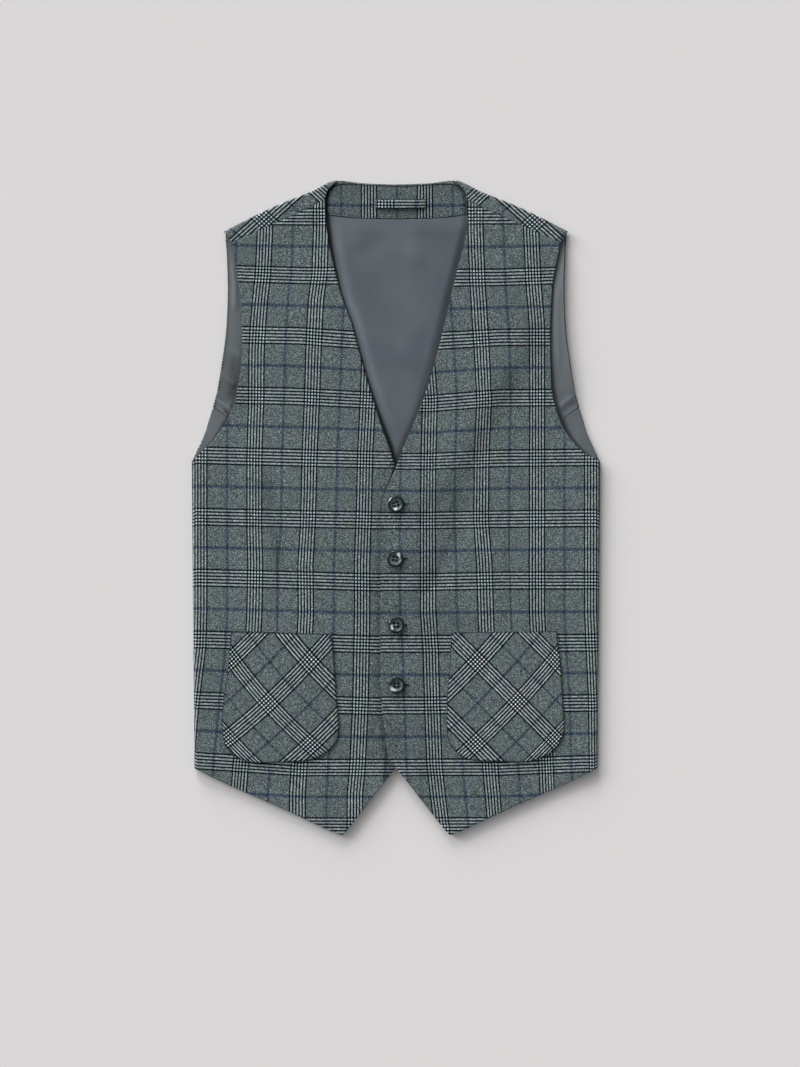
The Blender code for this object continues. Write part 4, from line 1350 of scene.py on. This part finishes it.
def liningHalf(side):
    outer = backOuterLine(cloth["edgeShow"], liningFaces)
    corner = Vector(liningShoulder[-1])
    hemY, topY = outer[0].y + cloth["liningHemRise"], corner.y - 0.001
    outer = [p for p in outer if hemY < p.y < topY] + [corner]
    neck = movedAside(smoothThrough(facingLowerEdge, liningFaces["neck"]), -cloth["gap"])
    neck[0].x = 0.0
    hidden = smoothThrough([neck[-1], *liningShoulder[1:3]], liningFaces["hidden"])
    strip = straight(liningShoulder[2], corner, liningFaces["strip"])
    top = neck + hidden[1:] + strip[1:]
    across = [p.x / corner.x for p in top]
    up = [(p.y - outer[0].y) / (corner.y - outer[0].y) for p in outer]
    bottom = [Vector((outer[0].x * share, outer[0].y)) for share in across]
    centre = [bottom[0].lerp(top[0], share) for share in up]
    rows = []
    for row in blendPatch(bottom, top, centre, outer, across, up):
        places = [(side * p.x, p.y) for p in row]
        rows.append([Vector((x, y, liningTop + liningRelief(x, y) + armholeLift(x, y))) for x, y in places])
    return rows, flatGrain(rows), side < 0


backLining = sewSheet("backLiningSatin", [liningHalf(1), liningHalf(-1)], cloth["liningWall"], satin,
                      edgeRound=0.0003, marks=liningPaintedShade)
declareCloth(backLining, "back_lining", 0.216, ["back"])

for hand, side in wearersSides:
    upper = sideSeamLines(liningFaces)[1]
    startY = cloth["underarmY"] - cloth["sideLiningDepth"]
    seam = [Vector((readTable(sideSeamBelow, startY, 1, 0), startY)), *upper]
    edge = smoothThrough(turnArmhole, liningFaces["turnRows"])
    edge = [Vector((sideX(startY) - cloth["sideFold"], startY)), *movedAside(edge, cloth["edgeShow"])]
    bottom = straight(edge[0], seam[0], liningFaces["sideColumns"])
    top = straight(edge[-1], seam[-1], liningFaces["sideColumns"])
    patch = blendPatch(bottom, top, edge, seam)
    flat = sidedRows([[Vector((p.x, p.y, 0.0)) for p in row] for row in patch], side)
    rows = [lifted(row, lambda x, y: liningTop + liningRelief(x, y)) for row in flat]
    blocks = [(rows, flatGrain(rows), side > 0)]
    strip = sewSheet(f"sideLiningSatin{hand}", blocks, cloth["liningWall"], satin, edgeRound=0.0003,
                     marks=liningPaintedShade)
    restsOn = [f"front_{hand.lower()}"]
    declareCloth(strip, f"side_lining_{hand.lower()}", 0.0031, restsOn)


# neck facing and hanger loop
facing = {
    "grainMiddle": (-0.0298, 0.3664),
    "rows": 12,
    "fronts": ((0.3232, 0.078), (0.3388, 0.078), (0.348, 0.0759), (0.3578, 0.0668)),    # y, x of their edges
    # painted shade beside the fronts' edges, by width and how dark; the facing is also made darker all over,
    # with more painted shade at the top
    "leftShade": (0.007, 0.55),       # width and dark beside the wearer's left front
    "rightShade": (0.0062, 0.92),
    "dark": 0.12,
    "topPaintedShade": (0.1, 0.348, 0.008),    # more of it at the top: share, y, fade
    # and a painted shadow under the loop: share, x, y, half length, reach
    "loopPaintedShadow": (0.15, 0.0045, 0.3285, 0.031, 0.0022),
    "loopFade": 0.004,
}


def facingPaintedShade(x, y):
    edge = readTable(facing["fronts"], y, 0, 1)
    topShare, topY, topFade = facing["topPaintedShade"]
    share, middleX, middleY, half, reach = facing["loopPaintedShadow"]
    underLoop = math.exp(-((y - middleY) / reach) ** 2)
    underLoop *= smoothstep((half - abs(x - middleX)) / facing["loopFade"])
    shade = -facing["dark"] - topShare * smoothstep((y - topY) / topFade) - share * underLoop
    if x > 0.0:
        return edge - x, *facing["leftShade"], shade
    return x + edge, *facing["rightShade"], shade


def facingHalf(side):
    lower = smoothThrough(facingLowerEdge, faces["neck"])
    upper = smoothThrough(facingUpperEdge, faces["neck"])
    centre = straight(lower[0], upper[0], facing["rows"])
    patch = blendPatch(lower, upper, centre, smoothThrough(facingEnd, facing["rows"]))
    rows = [[Vector((side * p.x, p.y, liningTop)) for p in row] for row in patch]
    grains = [[straightGrain(facing["grainMiddle"], p.x, p.y) for p in row] for row in rows]
    return rows, grains, side < 0


neckFacing = sewSheet("neckFacingCloth", [facingHalf(1), facingHalf(-1)], cloth["liningWall"], check,
                      edgeRound=0.0003, marks=facingPaintedShade)
declareCloth(neckFacing, "neck_facing", 0.0059, ["back"])

hanger = {
    "middle": (0.0045, 0.3344),
    "halfLength": 0.0281,
    "halfWidth": 0.0052,
    "arch": 0.0008,
    "sag": 0.0006,
    "crown": 0.00035,
    "tackShare": 0.4,
    "grainStart": -0.0116,
    "columns": 28,
    "rows": 6,
}


def loopPoint(along, across):
    arch = smoothstep((1.0 - abs(along)) / hanger["tackShare"])
    x = hanger["middle"][0] + hanger["halfLength"] * along
    y = hanger["middle"][1] + hanger["halfWidth"] * across - hanger["sag"] * arch * 0.5
    z = liningTop + cloth["gap"] + cloth["patchWall"] + hanger["arch"] * arch
    return Vector((x, y, z + hanger["crown"] * (1.0 - across**4)))


loopRows, loopGrains = [], []
for r in range(hanger["rows"] + 1):
    across = 2.0 * r / hanger["rows"] - 1.0
    row = [loopPoint(2.0 * c / hanger["columns"] - 1.0, across) for c in range(hanger["columns"] + 1)]
    loopRows.append(row)
    grainAcross = across * hanger["halfWidth"] / backGrain["repeat"][0]
    loopGrains.append([(grainAcross, (p.x - hanger["grainStart"]) / backGrain["repeat"][1]) for p in row])
hangerLoop = sewSheet("hangerLoopCloth", [(loopRows, loopGrains, False)], cloth["patchWall"], check)
declareCloth(hangerLoop, "hanger_loop", 0.00058, ["neck_facing"])
print("back, linings, facing and loop laid out")


# patch pockets
pocketSet = {
    # painted shade in the crease along the pocket's edge: how dark, and how wide
    "paintedEdgeShade": 0.7,
    "edgeWidth": 0.0016,
    "sideLength": 0.132,
    "bagLength": 0.105,
    "areas": {"Left": 0.0171, "Right": 0.0168},
}

for hand, side in wearersSides:
    surface = frontSurface(side)
    innerLine, bagLine, outerLine = pocketOutlines[hand]
    inner = smoothThrough(innerLine, facesAlong(pocketSet["sideLength"]))[::-1]
    bag = smoothThrough(bagLine, facesAlong(pocketSet["bagLength"]))
    outer = smoothThrough(outerLine, facesAlong(pocketSet["sideLength"]))
    top = straight(inner[-1], outer[-1], len(bag) - 1)
    outline = [(side * p.x, p.y) for p in (*inner[::-1], *bag[1:], *outer[1:], inner[-1])]

    # painted shade along the pocket's edge
    def pocketPaintedShade(x, y):
        return nearestOn(outline, x, y)[0], pocketSet["edgeWidth"], pocketSet["paintedEdgeShade"], 0.0

    rows, grains = [], []
    lift = cloth["gap"] + cloth["patchWall"]
    for row in blendPatch(bag, top, inner, outer):
        placed = [Vector((side * p.x, p.y, surface(p.x, p.y) + lift)) for p in row]
        rows.append(placed)
        grains.append([pocketGrain(hand, p.x, p.y) for p in placed])
    pocket = sewSheet(f"pocketCloth{hand}", [(rows, grains, side < 0)], cloth["patchWall"], biasCheck,
                      marks=pocketPaintedShade)
    area, restsOn = pocketSet["areas"][hand], [f"front_{hand.lower()}"]
    declareCloth(pocket, f"pocket_{hand.lower()}", area, restsOn)
print("pockets laid out")


# buttons
buttonShape = {
    "places": ((0.0, 0.0037, 18.0), (-0.0009, -0.0562, -10.0), (0.0003, -0.129, 0.0), (0.0007, -0.1951, 3.0)),
    "section": (
        (0.0, 0.0021), (0.0012, 0.0021), (0.0024, 0.00213), (0.0034, 0.00222), (0.0044, 0.0024),
        (0.0052, 0.00265), (0.0059, 0.00292), (0.0065, 0.00325), (0.007, 0.0036), (0.0075, 0.0038),
        (0.008, 0.00378), (0.0086, 0.0034), (0.009, 0.0028), (0.0091, 0.0021), (0.0088, 0.0013),
        (0.0078, 0.0007), (0.006, 0.0002), (0.0, 0.0),
    ),
    "turns": 64,
    "rest": 0.0002,            # over the gap to the cloth
    "holeOffset": 0.00185,
    "holeRadius": 0.00138,
    "holeFaces": 20,
    # painted shade reaches this share of a hole's radius
    "holeShadeReach": 1.02,          # of its radius, coloured as its wall
    "drillDepth": 0.02,
    "rimStart": 0.0064,
    "rimFull": 0.007,
    # painted shade on the rim, darker on the side away from the lamps
    "rimShade": (0.93, 0.07),  # middle, and how far it goes up and down round the rim
    "rimShadeSide": (0.8, -0.6),
    # pale spots and painted highlights on the face of each button, and painted highlight glints on its rim:
    # x, y, reach, share
    "paleSpotsAndGlints": (
        ((-0.0006, -0.0048, 0.0021, 1.0), (-0.001, 0.0, 0.0016, 0.4), (0.003, 0.001, 0.002, 0.15),
         (-0.0076, 0.0038, 0.0007, 0.8), (-0.0066, 0.0052, 0.0007, 1.0), (-0.0053, 0.0065, 0.0007, 0.8)),
        ((0.0036, 0.0048, 0.0019, 1.0), (0.0042, 0.002, 0.0016, 0.5), (0.0002, 0.0, 0.0014, 0.3),
         (-0.0074, 0.003, 0.0007, 0.35)),
        ((-0.005, -0.0012, 0.0018, 0.9), (-0.0044, -0.004, 0.0016, 0.8), (-0.0006, 0.0, 0.0015, 0.4),
         (-0.0074, 0.003, 0.0007, 0.6), (-0.0066, 0.0042, 0.0007, 0.5)),
        ((-0.005, -0.0044, 0.002, 1.0), (-0.0018, -0.0054, 0.0018, 0.55), (-0.0066, -0.0016, 0.0014, 0.5),
         (-0.0002, 0.0, 0.0015, 0.35)),
    ),
    "tilts": ((1.5, -1.0), (-2.5, 2.0), (1.0, 2.0), (2.0, -2.0)),     # degrees about x and y
}


def buttonMesh():
    profile = bmesh.new()
    verts = [profile.verts.new((radius, 0.0, height)) for radius, height in buttonShape["section"]]
    edges = [profile.edges.new(pair) for pair in zip(verts, verts[1:])]
    bmesh.ops.spin(profile, geom=verts + edges, cent=(0, 0, 0), axis=(0, 0, 1), angle=2 * math.pi,
                   steps=buttonShape["turns"])
    bmesh.ops.remove_doubles(profile, verts=profile.verts, dist=mergeDistance)
    bmesh.ops.recalc_face_normals(profile, faces=profile.faces)
    blank = placeObject("buttonBlank", meshFrom(profile, "buttonBlank"))
    drill = bmesh.new()
    for i in range(4):
        angle = math.pi / 4 + i * math.pi / 2
        reach = buttonShape["holeOffset"] * math.sqrt(2.0)
        hole = bmesh.ops.create_cone(drill, cap_ends=True, segments=buttonShape["holeFaces"],
                                     radius1=buttonShape["holeRadius"], radius2=buttonShape["holeRadius"],
                                     depth=buttonShape["drillDepth"])
        place = Vector((reach * math.cos(angle), reach * math.sin(angle), 0.0))
        bmesh.ops.translate(drill, verts=hole["verts"], vec=place)
    drillObject = placeObject("buttonDrill", meshFrom(drill, "buttonDrill"))
    cut = blank.modifiers.new("holes", "BOOLEAN")
    cut.operation = "DIFFERENCE"
    cut.object = drillObject
    finished = bakedMesh(blank)
    bpy.data.objects.remove(blank, do_unlink=True)
    bpy.data.objects.remove(drillObject, do_unlink=True)
    return finished


def bakedMesh(thing):
    # the evaluated shape as plain mesh data
    graph = bpy.context.evaluated_depsgraph_get()
    return bpy.data.meshes.new_from_object(thing.evaluated_get(graph))


def buttonPlace(number):
    x, y, turn = buttonShape["places"][number]
    return Vector((x, y, frontSurface(1)(x, y) + cloth["gap"] + buttonShape["rest"])), math.radians(turn)


def turnedBy(x, y, angle):
    return x * math.cos(angle) - y * math.sin(angle), x * math.sin(angle) + y * math.cos(angle)


buttonPlaces = [buttonPlace(number) for number in range(4)]
blankButton = buttonMesh()
for number, (place, turn) in enumerate(buttonPlaces):
    mesh = blankButton.copy()
    mesh.name = f"hornButton{number + 1}"
    rim = mesh.attributes.new("rim", "FLOAT", "POINT")
    paleAndGlint = mesh.attributes.new("paleAndGlint", "FLOAT", "POINT")
    hole = mesh.attributes.new("hole", "FLOAT", "POINT")
    lean, roll = (math.radians(angle) for angle in buttonShape["tilts"][number])
    for vert, mark, pale, hollow in zip(mesh.vertices, rim.data, paleAndGlint.data, hole.data):
        x, y, z = vert.co
        reach = math.hypot(x, y) - buttonShape["rimStart"]
        fromHole = math.hypot(abs(x) - buttonShape["holeOffset"], abs(y) - buttonShape["holeOffset"])
        # painted shade in and round the holes
        hollow.value = 1.0 if fromHole < buttonShape["holeShadeReach"] * buttonShape["holeRadius"] else 0.0
        mark.value = smoothstep(reach / (buttonShape["rimFull"] - buttonShape["rimStart"]))
        z += y * math.tan(lean) + x * math.tan(roll)
        turned = Vector((*turnedBy(x, y, turn), z))
        # painted shade: the rim darker on the side away from the lamps
        (middle, swing), (lightX, lightY) = buttonShape["rimShade"], buttonShape["rimShadeSide"]
        towardsShadeSide = (lightX * turned.x + lightY * turned.y) / max(math.hypot(x, y), 0.001)
        mark.value *= middle + swing * towardsShadeSide
        for paleX, paleY, reach, share in buttonShape["paleSpotsAndGlints"][number]:
            pale.value += share * math.exp(-((turned.x - paleX) ** 2 + (turned.y - paleY) ** 2) / reach**2)
        pale.value = min(pale.value, 1.0)
        vert.co = place + turned
    mesh.materials.clear()
    mesh.materials.append(horn)
    mesh.shade_smooth()
    mesh.set_sharp_from_angle(angle=math.radians(40))
    button = placeObject(mesh.name, mesh)
    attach(button, "root")
    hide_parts(f"button_{number + 1}")
print("buttons turned and drilled")


# stitches, all from one node tree
def buildStitchTree():
    tree = bpy.data.node_groups.new("stitchesAlongLine", "GeometryNodeTree")
    tree.interface.new_socket("Line", in_out="INPUT", socket_type="NodeSocketGeometry")
    for name in ("Spacing", "Length", "Thickness", "Turn", "Unevenness"):
        tree.interface.new_socket(name, in_out="INPUT", socket_type="NodeSocketFloat")
    tree.interface.new_socket("Thread", in_out="INPUT", socket_type="NodeSocketMaterial")
    tree.interface.new_socket("Stitches", in_out="OUTPUT", socket_type="NodeSocketGeometry")

    def add(kind, settings, sockets):
        node = tree.nodes.new(kind)
        for key, value in settings.items():
            setattr(node, key, value)
        for key, value in sockets.items():
            if isinstance(value, bpy.types.NodeSocket):
                tree.links.new(value, node.inputs[key])
            else:
                node.inputs[key].default_value = value
        return node

    given = tree.nodes.new("NodeGroupInput").outputs
    line = add("GeometryNodeMeshToCurve", {}, {"Mesh": given["Line"]})
    points = add("GeometryNodeCurveToPoints", {"mode": "LENGTH"}, {
        "Curve": line.outputs[0], "Length": given["Spacing"]})
    bead = add("GeometryNodeMeshUVSphere", {}, {"Segments": 8, "Rings": 6, "Radius": 0.5})
    size = add("ShaderNodeCombineXYZ", {}, {0: given["Thickness"], 1: given["Thickness"], 2: given["Length"]})
    shaped = add("GeometryNodeTransform", {}, {"Geometry": bead.outputs[0], "Scale": size.outputs[0]})
    turn = add("ShaderNodeCombineXYZ", {}, {0: given["Turn"]})
    crossed = add("GeometryNodeTransform", {}, {"Geometry": shaped.outputs[0], "Rotation": turn.outputs[0]})
    low = add("ShaderNodeMath", {"operation": "SUBTRACT"}, {0: 1.0, 1: given["Unevenness"]})
    uneven = add("FunctionNodeRandomValue", {"data_type": "FLOAT"}, {2: low.outputs[0], 3: 1.0, "Seed": 7})
    placed = add("GeometryNodeInstanceOnPoints", {}, {
        "Points": points.outputs["Points"], "Instance": crossed.outputs[0],
        "Rotation": points.outputs["Rotation"], "Scale": uneven.outputs[1]})
    real = add("GeometryNodeRealizeInstances", {}, {0: placed.outputs[0]})
    smooth = add("GeometryNodeSetShadeSmooth", {}, {0: real.outputs[0]})
    dyed = add("GeometryNodeSetMaterial", {}, {"Geometry": smooth.outputs[0], "Material": given["Thread"]})
    out = tree.nodes.new("NodeGroupOutput")
    tree.links.new(dyed.outputs[0], out.inputs[0])
    return tree


stitchTree = buildStitchTree()


def sewAlong(name, lines, thread, spacing, length, thickness, turn=0.0, unevenness=0.15):
    verts, edges = [], []
    for line in lines:
        start = len(verts)
        verts += [tuple(p) for p in line]
        edges += [(start + i, start + i + 1) for i in range(len(line) - 1)]
    mesh = bpy.data.meshes.new(name)
    mesh.from_pydata(verts, edges, [])
    guide = placeObject(name + "Guide", mesh)
    nodes = guide.modifiers.new("stitches", "NODES")
    nodes.node_group = stitchTree
    values = {"Spacing": spacing, "Length": length, "Thickness": thickness, "Turn": turn,
              "Unevenness": unevenness, "Thread": thread}
    for item in stitchTree.interface.items_tree:
        if item.in_out == "INPUT" and item.name in values:
            nodes[item.identifier] = values[item.name]
    stitches = bakedMesh(guide)
    bpy.data.objects.remove(guide, do_unlink=True)
    piece = placeObject(name, stitches)
    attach(piece, "root")
    return piece


stitching = {
    "armholeSpacing": 0.0031,
    "armholeEnd": 0.294,
    "edgeInset": 0.0006,
    "paleInset": 0.0011,
    "paleThickness": {"Left": 0.0009, "Right": 0.0015},
    "sunk": 0.0001,            # how deep the thread of a seam lies
    "holeInner": -0.0085,
    "holeHalfWidth": 0.0009,
    "slitShort": 0.0004,
    "holes": ((0.0122, 0.0009), (0.0134, 0.0008), (0.012, 0.0015), (0.0142, 0.0017)),   # outer end, how open
}


def armholeLine(side, start, inset, height):
    # along the back's armhole edge
    line = movedAside(smoothThrough(backArmhole, 600), inset)
    along = [p for p in line if backArmhole[0][1] + start < p.y < stitching["armholeEnd"]]
    return [Vector((side * p.x, p.y, height + armholeLift(side * p.x, p.y))) for p in along]


# dark stitches over the edge, and pale ones on the lining half a spacing on
spacing = stitching["armholeSpacing"]
for hand, side in wearersSides:
    dark = armholeLine(side, 0.0, stitching["edgeInset"], liningTop)
    pale = armholeLine(side, 0.5 * spacing, stitching["paleInset"], liningTop)
    paleSize = stitching["paleThickness"][hand]
    sewAlong(f"armholeEdgeStitches{hand}", [dark], blackThread, spacing, 0.0018, 0.0019, turn=0.3)
    sewAlong(f"armholePaleStitches{hand}", [pale], paleThread, spacing, 0.0013, paleSize, turn=0.3)

# dark thread in the lining's side seams and along the facing, drawing each seam and the painted shade in its
# gap: line, how many steps, moved aside, thickness
innerSeams = (
    ("liningSeam", sideSeamAbove, 40, 0.5 * cloth["gap"], 0.0006),
    ("facingUpper", facingUpperEdge, 60, -0.0008, 0.0012),
    ("facingLower", facingLowerEdge, 60, -0.5 * cloth["gap"], 0.0009),
)
for name, outline, steps, aside, thickness in innerSeams:
    line = movedAside(smoothThrough(outline, steps), aside)
    seam = [Vector((p.x, p.y, liningTop - stitching["sunk"])) for p in line]
    bothSides = [sidedRows([seam], side)[0] for hand, side in wearersSides]
    sewAlong(f"{name}Stitches", bothSides, blackThread, 0.0005, 0.001, thickness, unevenness=0.3)

holeLines = []
for (place, turn), (outerEnd, openWidth) in zip(buttonPlaces, stitching["holes"]):
    ring = []
    for i in range(33):
        angle = 2 * math.pi * i / 32
        bow = stitching["holeHalfWidth"]
        middle = (stitching["holeInner"] + outerEnd) / 2
        reach = (outerEnd - stitching["holeInner"]) / 2
        x = place.x + middle + reach * math.copysign(abs(math.cos(angle)) ** 0.5, math.cos(angle))
        y = place.y + bow * math.copysign(abs(math.sin(angle)) ** 0.8, math.sin(angle))
        ring.append(Vector((x, y, frontSurface(1)(x, y) + 0.0001)))
    holeLines.append(ring)
sewAlong("buttonholeStitches", holeLines, darkThread, 0.00045, 0.0016, 0.0005, turn=math.pi / 2)

for number, (place, turn) in enumerate(buttonPlaces):
    outerEnd, openWidth = stitching["holes"][number]
    slitEnd = outerEnd - stitching["slitShort"]
    xs = [place.x + mix(stitching["holeInner"], slitEnd, step / 12) for step in range(13)]
    slit = [Vector((x, place.y + 0.0002, frontSurface(1)(x, place.y) + 0.0002)) for x in xs]
    sewAlong(f"buttonholeSlit{number + 1}", [slit], blackThread, 0.0004, 0.0008, openWidth, unevenness=0.4)

buttonThreads = []
offset = buttonShape["holeOffset"]
strandHalf = offset - 0.7 * buttonShape["holeRadius"]
for place, turn in buttonPlaces:
    for across in (-offset, offset):
        strand = []
        for step in range(9):
            along = 2.0 * step / 8 - 1.0
            x, y = turnedBy(*Vector((along * strandHalf, across)), turn)
            strand.append(Vector((place.x + x, place.y + y, place.z + 0.0022 - 0.0008 * along**8)))
        buttonThreads.append(strand)
sewAlong("buttonThreads", buttonThreads, slateThread, 0.0003, 0.0006, 0.00026)

holeFill = []
for place, turn in buttonPlaces:
    for cornerX, cornerY in ((1, 1), (-1, 1), (-1, -1), (1, -1)):
        x = place.x + cornerX * offset * math.cos(turn) - cornerY * offset * math.sin(turn)
        y = place.y + cornerX * offset * math.sin(turn) + cornerY * offset * math.cos(turn)
        holeFill.append([Vector((x + end, y, place.z + 0.0002)) for end in (-0.0004, 0.0004)])
sewAlong("threadInHoles", holeFill, blackThread, 0.0004, 0.0011, 0.0012, unevenness=0.05)

tacks = []
tackRise = Vector((0, 0, 0.0001))
for end in (-0.97, -0.93, 0.93, 0.97):
    tacks.append([loopPoint(end, across) + tackRise for across in (-0.95, -0.5, 0.0, 0.5, 0.95)])
sewAlong("loopTacks", tacks, greyThread, 0.0007, 0.0009, 0.0005, turn=0.5)
print("stitches sewn")

bpy.context.view_layer.update()
